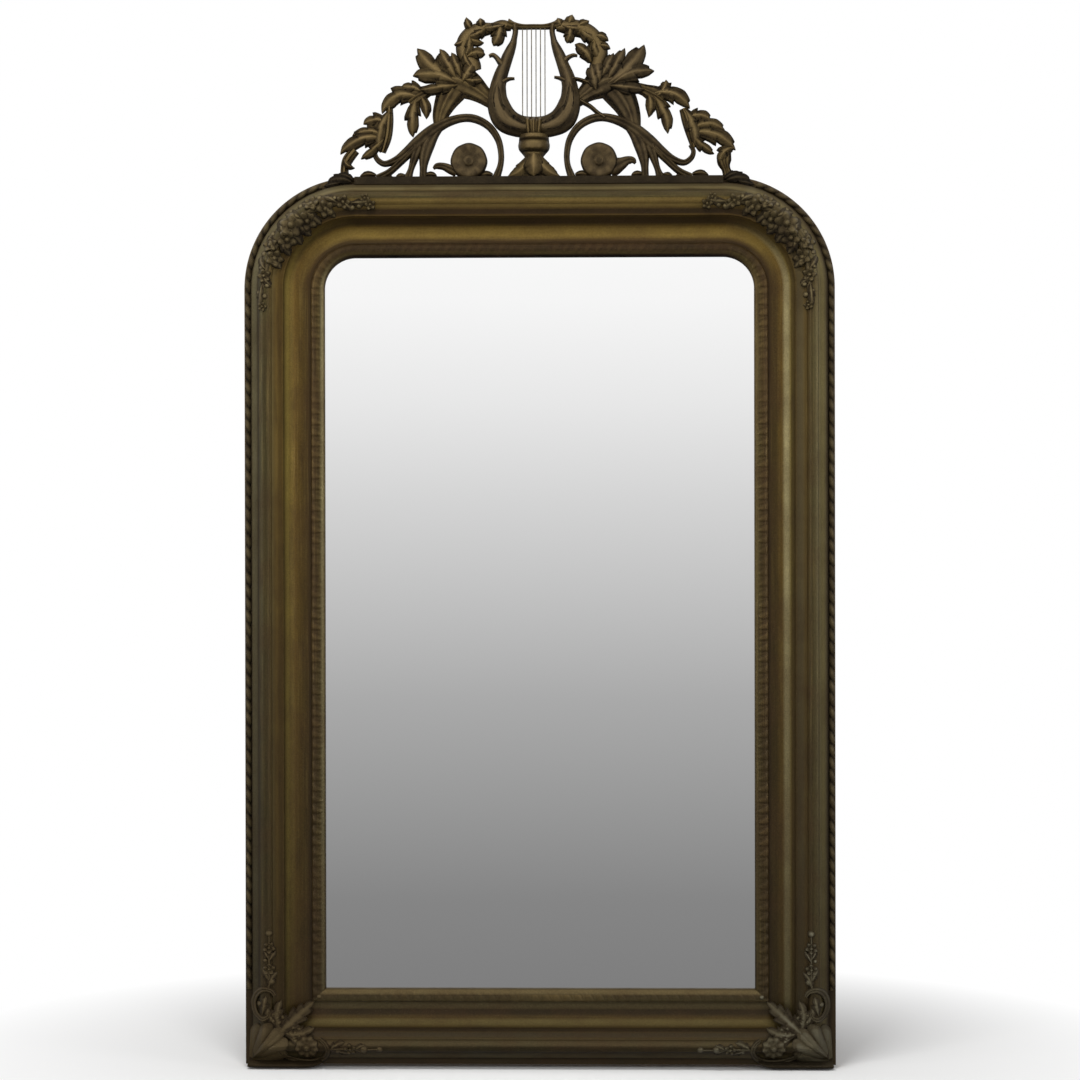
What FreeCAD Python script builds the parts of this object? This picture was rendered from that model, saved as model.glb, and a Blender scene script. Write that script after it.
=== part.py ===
import FreeCAD, Part
import math
import os
import Sketcher
from FreeCAD import Placement, Rotation, Vector

# Pier mirror with an openwork lyre crest.
# X runs to the right, Y to the wall behind, Z up; lengths are in millimetres.
# The origin is the middle of the lower edge of the wooden carcass, on its back face.
# Depths are written as heights above the back face, so a height of 24 is y = -24.

doc = FreeCAD.newDocument("pier_mirror")

sizes = (
    ("frame_width", 945, "outside width of the moulded frame"),
    ("frame_height", 1421, "height of the moulded frame without the crest"),
    ("moulding_width", 128, "outer edge to sight edge, sides and top"),
    ("bottom_width", 120, "outer edge to sight edge, bottom"),
    ("corner_radius", 178, "outer radius of the two top corners"),
    ("carcass_thickness", 24, "pine carcass behind the mouldings"),
    ("glass_cover", 15, "moulding overhang in front of the glass rebate"),
    ("rebate_width", 12, "step at the back that carries the boards"),
    ("rebate_depth", 9.5, "depth of that step"),
    ("ledge_width", 12, "flat outer ledge that carries the rope edge"),
    ("ledge_height", 36, "front of the ledge above the back face"),
    ("riser_height", 44, "top of the small riser beside the rope"),
    ("slope_width", 12, "hollow slope outside the torus"),
    ("shoulder_height", 56, "both edges of the torus"),
    ("torus_width", 22, "width of the large round"),
    ("torus_rise", 10, "rise of the large round over its edges"),
    ("quirk_width", 5, "slope between torus and fillet"),
    ("fillet_width", 13, "flat fillet outside the cove"),
    ("fillet_height", 54, "front of the fillet"),
    ("cove_drop", 4, "step from the fillet into the cove"),
    ("cove_depth", 8, "hollow of the cove below its chord"),
    ("seat_height", 30, "seat of the sight band"),
    ("band_width", 22, "leaf tip band next to the glass"),
    ("band_lip", 2, "part of the band that laps the moulding edge"),
    ("band_edge", 4, "outer edge of the band above its seat"),
    ("band_rise", 4, "round of the band above that edge"),
    ("band_fall", 1, "inner edge of the band below its outer edge"),
    ("rope_width", 10, "rope edge"),
    ("rope_rise", 7, "rope edge above its ledge"),
    ("rope_foot", 1, "straight foot of the rope edge"),
    ("rope_sweep", 72, "degrees of each top corner that carry rope"),
    ("glass_thickness", 5, "silvered glass"),
    ("glass_clearance", 2, "gap round the glass, filled by pads below"),
    ("block_length", 45, "wooden glazing block"),
    ("block_width", 10, "glazing block, in from the carcass"),
    ("block_depth", 8, "glazing block, front to back"),
    ("board_thickness", 8, "pine backboard"),
    ("board_gap", 1, "gap round and between the boards"),
    ("screw_radius", 1.6, "screw shank"),
    ("screw_head", 3.4, "screw head radius"),
    ("head_height", 1.2, "screw head thickness"),
    ("screw_length", 14, "shank below the head"),
    ("hole_spare", 3, "screw holes deeper than the shank"),
    ("drill_clearance", 0.1, "screw and dowel holes, on the radius"),
    ("hanger_inset", 60, "hanger from the outer edge"),
    ("hanger_drop", 290, "ring axis below the top of the frame"),
    ("strap_width", 28, "hanger strap"),
    ("strap_length", 72, "hanger strap below the ring axis"),
    ("strap_thickness", 1.5, "hanger strap"),
    ("strap_gap", 2, "top of the strap below the ring wire"),
    ("strap_screw_drop", 38, "upper strap screw below the ring axis"),
    ("strap_screw_pitch", 22, "strap screws, centre to centre"),
    ("loop_bore", 2.8, "inner radius of the rolled loop"),
    ("loop_length", 12, "rolled loop along the axis"),
    ("ring_wire", 2.5, "wire radius of the ring"),
    ("ring_radius", 17, "bow radius of the ring, at the wire centre"),
    ("crest_offset", -8, "axis of the crest from the middle of the frame"),
    ("crest_back", 14, "back of the carving above the back face"),
    ("crest_base_height", 46, "front of the strip under the crest"),
    ("crest_end_length", 50, "carved ends of the strip, round the corners"),
    ("crest_end_rise", 5, "carved ends above the top edge"),
    ("lyre_depth", 24, "lyre arms and bowl, back to front"),
    ("barb_depth", 14, "small barbs on the lyre arms"),
    ("yoke_depth", 17, "yoke over the strings"),
    ("tie_depth", 29, "wrap round the foot of the lyre"),
    ("flute_depth", 33, "flutes of that wrap"),
    ("scroll_depth", 17, "C-scrolls and their struts"),
    ("leaf_depth", 18, "leaves of the crest"),
    ("urn_depth", 34, "urn, back to front"),
    ("string_radius", 0.8, "wire strings"),
    ("string_spacing", 7.2, "wire strings, centre to centre"),
    ("string_foot", 92, "foot of the strings above the top edge"),
    ("string_length", 151, "wire strings"),
    ("string_out", 8, "strings in front of the back of the carving"),
    ("rosette_radius", 29.5, "rosettes inside the scrolls"),
    ("rosette_rise", 27, "rosette centre above the top edge"),
    ("rosette_spread", 104.5, "rosette centre from the crest axis"),
    ("scallop_radius", 4, "scallops round the rosette rim"),
    ("tail_depth", 13, "tail leaf of a rosette"),
    ("dowel_radius", 3, "dowels under the crest"),
    ("dowel_length", 42, "dowels under the crest"),
    ("dowel_depth", 25, "part of each dowel inside the top rail"),
    ("dowel_spread", 20, "inner dowels from the crest axis"),
    ("dowel_cover", 2, "wood between a dowel and the back of the carving"),
    ("brace_width", 22, "iron strap behind the crest"),
    ("brace_length", 110, "iron strap behind the crest"),
    ("brace_screw_inset", 18, "inner brace screws from the top edge"),
    ("brace_screw_pitch", 24, "brace screws of one end, centre to centre"),
    ("brace_block_width", 28, "pine block behind the neck of the urn"),
    ("brace_block_height", 62, "pine block behind the urn"),
    ("spray_back", 44, "root of the corner sprays above the back face"),
    ("spray_depth", 28, "corner sprays from that root"),
    ("cartouche_back", 28, "root of the bottom cartouches"),
    ("cartouche_depth", 43, "bottom cartouches from that root"),
    ("foot_back", 24, "root of the rounded foot under a cartouche"),
    ("foot_depth", 34, "rounded foot from that root"),
)

sheet = doc.addObject("Spreadsheet::Sheet", "Sizes")
for row, (alias, number, note) in enumerate(sizes, 1):
    sheet.set(f"A{row}", note)
    sheet.set(f"B{row}", str(number))
    sheet.setAlias(f"B{row}", alias)
doc.recompute()


class Size:
    # A length together with the sheet expression that gives it.

    def __init__(self, value, text=None):
        self.value = float(value)
        self.text = repr(self.value) if text is None else text

    def joined(self, other, sign, result, swapped=False):
        first, second = (other, self) if swapped else (self, other)
        return Size(result(first.value, second.value), f"({first.text} {sign} {second.text})")

    def __add__(self, other):
        return self.joined(sized(other), "+", lambda a, b: a + b)

    def __radd__(self, other):
        return self.joined(sized(other), "+", lambda a, b: a + b, True)

    def __sub__(self, other):
        return self.joined(sized(other), "-", lambda a, b: a - b)

    def __rsub__(self, other):
        return self.joined(sized(other), "-", lambda a, b: a - b, True)

    def __mul__(self, other):
        return self.joined(sized(other), "*", lambda a, b: a * b)

    def __rmul__(self, other):
        return self.joined(sized(other), "*", lambda a, b: a * b, True)

    def __truediv__(self, other):
        return self.joined(sized(other), "/", lambda a, b: a / b)

    def __neg__(self):
        return self.joined(sized(0), "-", lambda a, b: a - b, True)

    def root(self):
        return Size(math.sqrt(self.value), f"sqrt({self.text})")


def sized(number):
    return number if isinstance(number, Size) else Size(number)


def size(alias):
    return Size(float(sheet.get(alias)), f"Sizes.{alias}")


pieces = []


def keep(piece, label):
    piece.Label = label
    pieces.append(piece)
    return piece


# Sketch and body helpers

def new_body(label):
    return keep(doc.addObject("PartDesign::Body", label), label)


def new_sketch(body, role, lift=None):
    # Sketch on one of the body's own planes, lifted along the plane's normal.
    sketch = body.newObject("Sketcher::SketchObject", "Outline")
    plane = [entry for entry in body.Origin.OriginFeatures if entry.Role == role][0]
    sketch.AttachmentSupport = [(plane, "")]
    sketch.MapMode = "FlatFace"
    if lift is not None:
        sketch.AttachmentOffset = Placement(Vector(0, 0, lift.value), Rotation())
        sketch.setExpression(".AttachmentOffset.Base.z", lift.text)
    return sketch


def pin(sketch, kind, where, length):
    # One dimension tied to its sheet expression.
    index = sketch.addConstraint(Sketcher.Constraint(kind, *where, length.value))
    sketch.setExpression(f"Constraints[{index}]", length.text)


def draw_loop(sketch, corners, curves=None):
    # Closed outline; curves maps a side to its radius and a point it passes through.
    curves = curves or {}
    corners = [(sized(x), sized(y)) for x, y in corners]
    points = [Vector(x.value, y.value, 0) for x, y in corners]
    ends = []
    for side, start in enumerate(points):
        finish = points[(side + 1) % len(points)]
        if side not in curves:
            ends.append((sketch.addGeometry(Part.LineSegment(start, finish)), 1, 2))
            continue
        radius, middle = curves[side]
        turning = (middle - start).cross(finish - middle).z
        if turning > 0:
            ends.append((sketch.addGeometry(Part.Arc(start, middle, finish)), 1, 2))
        else:
            ends.append((sketch.addGeometry(Part.Arc(finish, middle, start)), 2, 1))
        pin(sketch, "Radius", (ends[-1][0],), radius)
    for side, (edge, first, last) in enumerate(ends):
        after = ends[(side + 1) % len(ends)]
        sketch.addConstraint(Sketcher.Constraint("Coincident", edge, last, after[0], after[1]))
        pin(sketch, "DistanceX", (-1, 1, edge, first), corners[side][0])
        pin(sketch, "DistanceY", (-1, 1, edge, first), corners[side][1])


def draw_box(sketch, left, right, low, high):
    draw_loop(sketch, [(left, low), (right, low), (right, high), (left, high)])


def draw_circle(sketch, across, up, radius):
    across, up = sized(across), sized(up)
    centre = Vector(across.value, up.value, 0)
    edge = sketch.addGeometry(Part.Circle(centre, Vector(0, 0, 1), radius.value))
    pin(sketch, "DistanceX", (-1, 1, edge, 3), across)
    pin(sketch, "DistanceY", (-1, 1, edge, 3), up)
    pin(sketch, "Radius", (edge,), radius)


def add_pad(body, sketch, length, symmetric=False, backwards=False):
    pad = body.newObject("PartDesign::Pad", "Pad")
    pad.Profile = sketch
    pad.SideType = "Symmetric" if symmetric else "One side"
    pad.Reversed = backwards
    pad.setExpression("Length", length.text)
    body.Tip = pad
    return pad


def add_pocket(body, sketch, depth=None, symmetric=False, backwards=False):
    # A pocket without a depth goes right through.
    doc.recompute()
    before = body.Shape.Volume
    pocket = body.newObject("PartDesign::Pocket", "Pocket")
    pocket.Profile = sketch
    pocket.SideType = "Symmetric" if symmetric else "One side"
    pocket.Reversed = backwards
    if depth is None:
        pocket.Type = "ThroughAll"
    else:
        pocket.setExpression("Length", depth.text)
    body.Tip = pocket
    doc.recompute()
    if not body.Shape.Volume < before - 1:
        raise RuntimeError(f"pocket cuts nothing in {body.Label}")
    return pocket


# Sizes used all over the frame

half_width = size("frame_width") / 2
height = size("frame_height")
radius = size("corner_radius")
moulding = size("moulding_width")
bottom = size("bottom_width")
thickness = size("carcass_thickness")
stile_width = moulding - size("glass_cover")
rail_width = bottom - size("glass_cover")
rebate = size("rebate_width")
spring_line = height - radius
drill = size("screw_radius") + size("drill_clearance")
crest_axis = size("crest_offset")
sides = (("left", -1), ("right", 1))


def corner_point(side, angle, distance):
    # Point at a given distance from the centre of a rounded top corner.
    across = side * (half_width.value - radius.value + distance * math.cos(angle))
    return Vector(across, spring_line.value + distance * math.sin(angle), 0)


# Positions of screws and dowels, shared by the holes and the hardware

board_edge = half_width - stile_width + rebate - size("board_gap")
board_low = rail_width - rebate + size("board_gap")
board_high = height - stile_width + rebate - size("board_gap")
board_pitch = (board_high - board_low + size("board_gap")) / 4
board_height = board_pitch - size("board_gap")
screw_line = half_width - stile_width + rebate / 2


def board_base(number):
    return board_low + board_pitch * number


def board_screw_levels(number):
    return (board_base(number) + board_height * 0.2, board_base(number) + board_height * 0.8)


hanger_across = half_width - size("hanger_inset")
ring_level = height - size("hanger_drop")
ring_out = size("loop_bore") + size("strap_thickness")
upper_strap_screw = ring_level - size("strap_screw_drop")
strap_screw_levels = (upper_strap_screw, upper_strap_screw - size("strap_screw_pitch"))
inner_brace_screw = size("brace_screw_inset")
outer_brace_screw = inner_brace_screw + size("brace_screw_pitch")
brace_screw_levels = (height - outer_brace_screw, height - inner_brace_screw,
                      height + inner_brace_screw, height + outer_brace_screw)
dowel_spots = (crest_axis - size("dowel_spread"), crest_axis + size("dowel_spread"),
               crest_axis - size("rosette_spread"), crest_axis + size("rosette_spread"))
dowel_level = size("crest_back") + size("dowel_radius") + size("dowel_cover")
overcut = 5  # cutters run this far past the edges they clear


# Carcass: stiles keep their back half at the corner laps, rails their front half

def draw_holes(sketch, spots):
    for across, up in spots:
        draw_circle(sketch, across, up, drill)


def carcass_stile(name, side):
    body = new_body(f"carcass_{name}_stile")
    outer = half_width * side
    inner = (half_width - stile_width) * side
    reach = (radius * radius - (radius - stile_width) * (radius - stile_width)).root()
    angle = math.acos((radius.value - stile_width.value) / radius.value) / 2
    outline = new_sketch(body, "XZ_Plane")
    draw_loop(outline,
              [(outer, 0), (inner, 0), (inner, spring_line + reach), (outer, spring_line)],
              {2: (radius, corner_point(side, angle, radius.value))})
    add_pad(body, outline, thickness)
    laps = new_sketch(body, "XZ_Plane", thickness / 2)
    lap_outer = (half_width + overcut) * side
    lap_inner = (half_width - stile_width - overcut) * side
    draw_box(laps, lap_outer, lap_inner, -overcut, rail_width)
    draw_box(laps, lap_outer, lap_inner, height - stile_width, height + overcut)
    add_pocket(body, laps, backwards=True)
    step = new_sketch(body, "XZ_Plane")
    draw_box(step, inner, (half_width - stile_width + rebate) * side,
             rail_width - rebate, height - stile_width + rebate)
    add_pocket(body, step, size("rebate_depth"), backwards=True)
    holes = new_sketch(body, "XZ_Plane")
    levels = [level for number in range(4) for level in board_screw_levels(number)]
    draw_holes(holes, [(screw_line * side, level) for level in levels])
    draw_holes(holes, [(hanger_across * side, level) for level in strap_screw_levels])
    add_pocket(body, holes, size("screw_length") + size("hole_spare"), backwards=True)


def carcass_rail(name, low, high, curved):
    body = new_body(f"carcass_{name}_rail")
    outline = new_sketch(body, "XZ_Plane")
    if curved:
        rise = radius - stile_width
        inset = radius - (radius * radius - rise * rise).root()
        edge = half_width - inset
        flat = half_width - radius
        angle = (math.pi / 2 + math.asin(rise.value / radius.value)) / 2
        draw_loop(outline, [(-edge, low), (edge, low), (flat, high), (-flat, high)],
                  {1: (radius, corner_point(1, angle, radius.value)),
                   3: (radius, corner_point(-1, angle, radius.value))})
    else:
        draw_box(outline, -half_width, half_width, low, high)
    add_pad(body, outline, thickness)
    laps = new_sketch(body, "XZ_Plane")
    for side in (-1, 1):
        draw_box(laps, (half_width + overcut) * side, (half_width - stile_width) * side,
                 low - overcut, high + overcut)
    add_pocket(body, laps, thickness / 2, backwards=True)
    step = new_sketch(body, "XZ_Plane")
    across = half_width - stile_width + overcut
    if curved:
        draw_box(step, -across, across, low - overcut, low + rebate)
    else:
        draw_box(step, -across, across, high - rebate, high + overcut)
    add_pocket(body, step, size("rebate_depth"), backwards=True)
    return body


for name, side in sides:
    carcass_stile(name, side)
carcass_rail("bottom", sized(0), rail_width, False)
top_rail = carcass_rail("top", height - stile_width, height, True)
brace_holes = new_sketch(top_rail, "XZ_Plane")
draw_holes(brace_holes, [(crest_axis, level) for level in brace_screw_levels[:2]])
add_pocket(top_rail, brace_holes, size("screw_length"), backwards=True)
dowel_holes = new_sketch(top_rail, "XY_Plane", height)
for across in dowel_spots:
    draw_circle(dowel_holes, across, -dowel_level, size("dowel_radius") + size("drill_clearance"))
add_pocket(top_rail, dowel_holes, size("dowel_depth"))


# Moulded runs: one section, given as distance from the outer edge and height above the back

slope_foot = size("ledge_width")
torus_start = slope_foot + size("slope_width")
torus_end = torus_start + size("torus_width")
fillet_start = torus_end + size("quirk_width")
fillet_end = fillet_start + size("fillet_width")
band_start = moulding - size("band_width")
band_end = moulding - size("band_lip")
shoulder = size("shoulder_height")
fillet = size("fillet_height")
seat = size("seat_height")
ledge = size("ledge_height")

# Each section is its corners and the rise of its curved sides, hollow sides being negative.
moulding_section = (
    ((0, thickness), (0, ledge), (slope_foot, ledge), (slope_foot, size("riser_height")),
     (torus_start, shoulder), (torus_end, shoulder), (fillet_start, fillet), (fillet_end, fillet),
     (fillet_end, fillet - size("cove_drop")), (band_start, seat), (band_end, seat),
     (band_end, thickness)),
    {4: size("torus_rise"), 8: -size("cove_depth")},
)
band_section = (
    ((band_start, seat), (band_start, seat + size("band_edge")),
     (band_end, seat + size("band_edge") - size("band_fall")), (moulding, seat),
     (moulding, thickness), (band_end, thickness), (band_end, seat)),
    {1: size("band_rise")},
)
rope_edge = (slope_foot - size("rope_width")) / 2
rope_section = (
    ((rope_edge, ledge), (rope_edge, ledge + size("rope_foot")),
     (slope_foot - rope_edge, ledge + size("rope_foot")), (slope_foot - rope_edge, ledge)),
    {1: size("rope_rise") - size("rope_foot")},
)


def draw_section(sketch, section, place):
    corners, rises = section
    placed = [place(sized(across), sized(up)) for across, up in corners]
    origin, higher = place(sized(0), sized(0)), place(sized(0), sized(1))
    front = Vector(higher[0].value - origin[0].value, higher[1].value - origin[1].value, 0)
    curves = {}
    for number, rise in rises.items():
        (x0, y0), (x1, y1) = placed[number], placed[number + 1]
        run, climb = x1 - x0, y1 - y0
        bulge = rise if rise.value > 0 else -rise
        chord_square = run * run + climb * climb
        middle = Vector((x0.value + x1.value) / 2, (y0.value + y1.value) / 2, 0)
        normal = Vector(-climb.value, run.value, 0)
        normal.normalize()
        if normal.dot(front) * rise.value < 0:
            normal = normal * -1
        curves[number] = (chord_square / (bulge * 8) + bulge / 2, middle + normal * bulge.value)
    draw_loop(sketch, placed, curves)


def mitre_line():
    # The mitre runs from the outer bottom corner through the inner one, a little beyond it.
    return half_width, half_width - moulding * 1.2, bottom * 1.2


def side_run(label, side, section, mitred=True, start=None):
    start = sized(0) if start is None else start
    body = new_body(label)
    outline = new_sketch(body, "XY_Plane", start)
    draw_section(outline, section, lambda across, up: ((half_width - across) * side, -up))
    add_pad(body, outline, spring_line - start)
    if mitred:
        outer, inner, rise = mitre_line()
        waste = new_sketch(body, "XZ_Plane")
        draw_loop(waste, [(outer * side, 0), (inner * side, rise),
                          (inner * side, -overcut), (outer * side, -overcut)])
        add_pocket(body, waste, symmetric=True)
    return body


def top_run(label, section):
    body = new_body(label)
    outline = new_sketch(body, "YZ_Plane")
    draw_section(outline, section, lambda across, up: (-up, height - across))
    add_pad(body, outline, (half_width - radius) * 2, symmetric=True)
    return body


def bottom_run(label, section):
    body = new_body(label)
    outline = new_sketch(body, "YZ_Plane")
    draw_section(outline, section, lambda across, up: (-up, across * bottom / moulding))
    add_pad(body, outline, half_width * 2, symmetric=True)
    outer, inner, rise = mitre_line()
    waste = new_sketch(body, "XZ_Plane")
    for side in (-1, 1):
        draw_loop(waste, [(outer * side, 0), (inner * side, rise),
                          ((outer + overcut) * side, rise), ((outer + overcut) * side, 0)])
    add_pocket(body, waste, symmetric=True)
    return body


def corner_run(label, side, section, sweep=None):
    # The section turned about the centre of a top corner, from the side towards the top.
    body = new_body(label)
    outline = new_sketch(body, "XY_Plane", spring_line)
    draw_section(outline, section, lambda across, up: ((half_width - across) * side, -up))
    centre = (half_width - radius) * side
    line = Part.LineSegment(Vector(centre.value, 0, 0), Vector(centre.value, thickness.value, 0))
    axis = outline.addGeometry(line, True)
    for end, out in ((1, sized(0)), (2, thickness)):
        pin(outline, "DistanceX", (-1, 1, axis, end), centre)
        pin(outline, "DistanceY", (-1, 1, axis, end), out)
    turn = body.newObject("PartDesign::Revolution", "Turn")
    turn.Profile = outline
    turn.ReferenceAxis = (outline, ["Axis0"])
    turn.Angle = 90
    if sweep is not None:
        turn.setExpression("Angle", sweep.text)
    turn.Reversed = side > 0
    body.Tip = turn
    return body


moulding_runs = {}
band_runs = {}
for name, side in sides:
    moulding_runs[name] = side_run(f"moulding_{name}", side, moulding_section)
    moulding_runs[f"corner_{name}"] = corner_run(f"moulding_corner_{name}", side, moulding_section)
    band_runs[name] = side_run(f"sight_band_{name}", side, band_section)
    corner_run(f"sight_band_corner_{name}", side, band_section)
    side_run(f"rope_edge_{name}", side, rope_section, mitred=False, start=bottom)
    corner_run(f"rope_edge_corner_{name}", side, rope_section, size("rope_sweep"))
moulding_runs["top"] = top_run("moulding_top", moulding_section)
moulding_runs["bottom"] = bottom_run("moulding_bottom", moulding_section)
top_run("sight_band_top", band_section)
band_runs["bottom"] = bottom_run("sight_band_bottom", band_section)


# Glass, its pads and blocks, and the boards behind it

glass_half = half_width - stile_width - size("glass_clearance")
glass_low = rail_width + size("glass_clearance")
glass_high = height - stile_width - size("glass_clearance")
glass = new_body("mirror_glass")
pane = new_sketch(glass, "XZ_Plane", thickness - size("glass_thickness"))
draw_box(pane, -glass_half, glass_half, glass_low, glass_high)
add_pad(glass, pane, size("glass_thickness"))


def bind(thing, **values):
    for name, value in values.items():
        value = sized(value)
        path = {"x": ".Placement.Base.x", "y": ".Placement.Base.y", "z": ".Placement.Base.z"}
        thing.setExpression(path.get(name, name), value.text)
    return thing


def box(left, front, low, width, depth, tall):
    # Box with its front face at a given height above the back.
    solid = doc.addObject("Part::Box", "Block")
    return bind(solid, x=left, y=-sized(front), z=low, Length=width, Width=depth, Height=tall)


def group(label, members):
    compound = doc.addObject("Part::Compound", label)
    compound.Links = members
    return keep(compound, label)


blocks = []
glass_back = thickness - size("glass_thickness")
block = (size("block_length"), size("block_width"), size("block_depth"))
opening = half_width - stile_width
for fraction in (0.12, 0.5, 0.88):
    level = rail_width + (height - stile_width - rail_width) * fraction - block[0] / 2
    blocks.append(box(-opening, glass_back, level, block[1], block[2], block[0]))
    blocks.append(box(opening - block[1], glass_back, level, block[1], block[2], block[0]))
for spot in (-0.5, 0.5):
    across = opening * spot - block[0] / 2
    blocks.append(box(across, glass_back, rail_width, block[0], block[2], block[1]))
    blocks.append(box(across, glass_back, height - stile_width - block[1], block[0], block[2], block[1]))
    blocks.append(box(across, thickness, rail_width, block[0], size("glass_thickness"),
                      size("glass_clearance")))
group("glazing_blocks", blocks)

board_front = size("rebate_depth")
for number in range(4):
    board = new_body(f"backboard_{number + 1}")
    outline = new_sketch(board, "XZ_Plane", board_front - size("board_thickness"))
    draw_box(outline, -board_edge, board_edge, board_base(number), board_base(number) + board_height)
    for side in (-1, 1):
        draw_holes(outline, [(screw_line * side, level) for level in board_screw_levels(number)])
    add_pad(board, outline, size("board_thickness"))


def rod(across, back, up, rod_radius, length, direction):
    # Round bar from a point behind the frame; direction is the way it runs.
    solid = doc.addObject("Part::Cylinder", "Rod")
    solid.Placement = Placement(Vector(), Rotation(Vector(0, 0, 1), direction))
    return bind(solid, x=across, y=back, z=up, Radius=rod_radius, Height=length)


def screw(across, back, up):
    # Round headed screw whose head rests on a surface at the given y.
    forward = Vector(0, -1, 0)
    shank = rod(across, back, up, size("screw_radius"), size("screw_length"), forward)
    head = rod(across, back + size("head_height"), up, size("screw_head"), size("head_height"), forward)
    joined = doc.addObject("Part::Fuse", "Screw")
    joined.Base = shank
    joined.Tool = head
    return joined


board_back = size("board_thickness") - board_front
board_screws = []
for number in range(4):
    for level in board_screw_levels(number):
        for side in (-1, 1):
            board_screws.append(screw(screw_line * side, board_back, level))
group("backboard_screws", board_screws)


# Hangers on the back of the stiles

iron_screws = []
for name, side in sides:
    across = hanger_across * side
    strap = new_body(f"hanger_strap_{name}")
    plate = new_sketch(strap, "XZ_Plane")
    draw_box(plate, across - size("strap_width") / 2, across + size("strap_width") / 2,
             ring_level - size("strap_length"), ring_level - size("ring_wire") - size("strap_gap"))
    draw_holes(plate, [(across, level) for level in strap_screw_levels])
    add_pad(strap, plate, size("strap_thickness"), backwards=True)
    tongue = new_sketch(strap, "XZ_Plane")
    draw_box(tongue, across - size("loop_length") / 2, across + size("loop_length") / 2,
             ring_level - size("ring_wire") - size("strap_gap") * 2, ring_level)
    add_pad(strap, tongue, size("strap_thickness"), backwards=True)
    rolled = new_sketch(strap, "YZ_Plane", across)
    draw_circle(rolled, ring_out, ring_level, ring_out)
    draw_circle(rolled, ring_out, ring_level, size("loop_bore"))
    add_pad(strap, rolled, size("loop_length"), symmetric=True)
    for level in strap_screw_levels:
        iron_screws.append(screw(across, size("strap_thickness"), level))

    bow = doc.addObject("Part::Torus", "Bow")
    bow.Placement = Placement(Vector(), Rotation(Vector(1, 0, 0), -90))
    bow.Angle1 = -180
    bow.Angle2 = 180
    bow.Angle3 = 180
    bind(bow, x=across, y=ring_out, z=ring_level, Radius1=size("ring_radius"), Radius2=size("ring_wire"))
    bar = rod(across - size("ring_radius"), ring_out, ring_level,
              size("ring_wire"), size("ring_radius") * 2, Vector(1, 0, 0))
    knuckles = []
    for end in (-1, 1):
        knuckle = doc.addObject("Part::Sphere", "Knuckle")
        bind(knuckle, x=across + size("ring_radius") * end, y=ring_out, z=ring_level,
             Radius=size("ring_wire"))
        knuckles.append(knuckle)
    ring = doc.addObject("Part::MultiFuse", f"hanger_ring_{name}")
    ring.Shapes = [bow, bar] + knuckles
    keep(ring, f"hanger_ring_{name}")


# Strip under the crest and its carved ends, on the outer ledge

strip = new_body("crest_base")
strip_face = new_sketch(strip, "XZ_Plane", ledge)
flat = half_width - radius
draw_box(strip_face, -flat, flat, height - size("ledge_width"), height)
add_pad(strip, strip_face, size("crest_base_height") - ledge)

for name, side in sides:
    knob = new_body(f"crest_end_{name}")
    outline = new_sketch(knob, "XZ_Plane", ledge)
    inner_radius = radius - size("ledge_width")
    reach = size("crest_end_length")
    low = spring_line + (inner_radius * inner_radius - reach * reach).root()
    high = height + size("crest_end_rise")
    angle = (math.pi / 2 + math.acos(reach.value / inner_radius.value)) / 2
    draw_loop(outline,
              [((flat + reach) * side, low), (flat * side, height - size("ledge_width")),
               (flat * side, height), ((flat + reach * 0.45) * side, high),
               ((flat + reach * 0.95) * side, high - 4)],
              {0: (inner_radius, corner_point(side, angle, inner_radius.value))})
    add_pad(knob, outline, size("crest_base_height") - ledge)


# Carving: limbs with a flat back and a half oval front

def limb(stations, back, depth, fullness=0.35):
    # Loft through one oval at each station (across, up, width), square to the path.
    # The oval is centred on the back plane; its rear half is cut away later.
    widest = max(width for across, up, width in stations)
    rings = []
    for number, (across, up, width) in enumerate(stations):
        before = stations[max(number - 1, 0)]
        after = stations[min(number + 1, len(stations) - 1)]
        along = Vector(after[0] - before[0], 0, after[1] - before[1])
        along.normalize()
        sideways = Vector(-along.z, 0, along.x) * (width / 2)
        rear = Vector(0, depth * (fullness + (1 - fullness) * width / widest), 0)
        centre = Vector(across, -back, up)
        turns = [number * math.pi / 4 for number in range(8)]
        ring = Part.BSplineCurve()
        ring.interpolate([centre + rear * math.cos(turn) + sideways * math.sin(turn) for turn in turns], True)
        rings.append(Part.Wire(ring.toShape()))
    return Part.makeLoft(rings, True, False)


def lobe(base, tip, width, bend=0.0):
    # Pointed leaf from base to tip; bend pushes its middle to the left of that line.
    shape = ((0.0, 0.55), (0.22, 0.86), (0.45, 1.0), (0.68, 0.8), (0.87, 0.42), (1.0, 0.1))
    run, climb = tip[0] - base[0], tip[1] - base[1]
    stations = []
    for part, share in shape:
        push = bend * 4 * part * (1 - part)
        stations.append((base[0] + run * part - climb * push, base[1] + climb * part + run * push,
                         width * share))
    return stations


def mirrored(stations, side):
    return [(across * side, up, width) for across, up, width in stations]


def on_crest(stations):
    # From crest axis and top edge to the frame's own coordinates.
    return [(across + crest_axis.value, up + height.value, width) for across, up, width in stations]


def joined(shapes):
    return shapes[0].fuse(shapes[1:]) if len(shapes) > 1 else shapes[0]


def without(shape, others):
    # The shape with its neighbours cut away, loose crumbs dropped.
    crumb = 40
    solids = [solid for solid in shape.cut(others).Solids if solid.Volume > crumb]
    return solids[0] if len(solids) == 1 else Part.makeCompound(solids)


back_plane = size("crest_back").value
below_crest = Part.makeBox(1200, 200, 60, Vector(-600, -150, height.value - 60))


def behind(back):
    # Everything further back than a given height above the back face.
    return Part.makeBox(1400, 200, 2200, Vector(-700, -back, -200))


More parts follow.
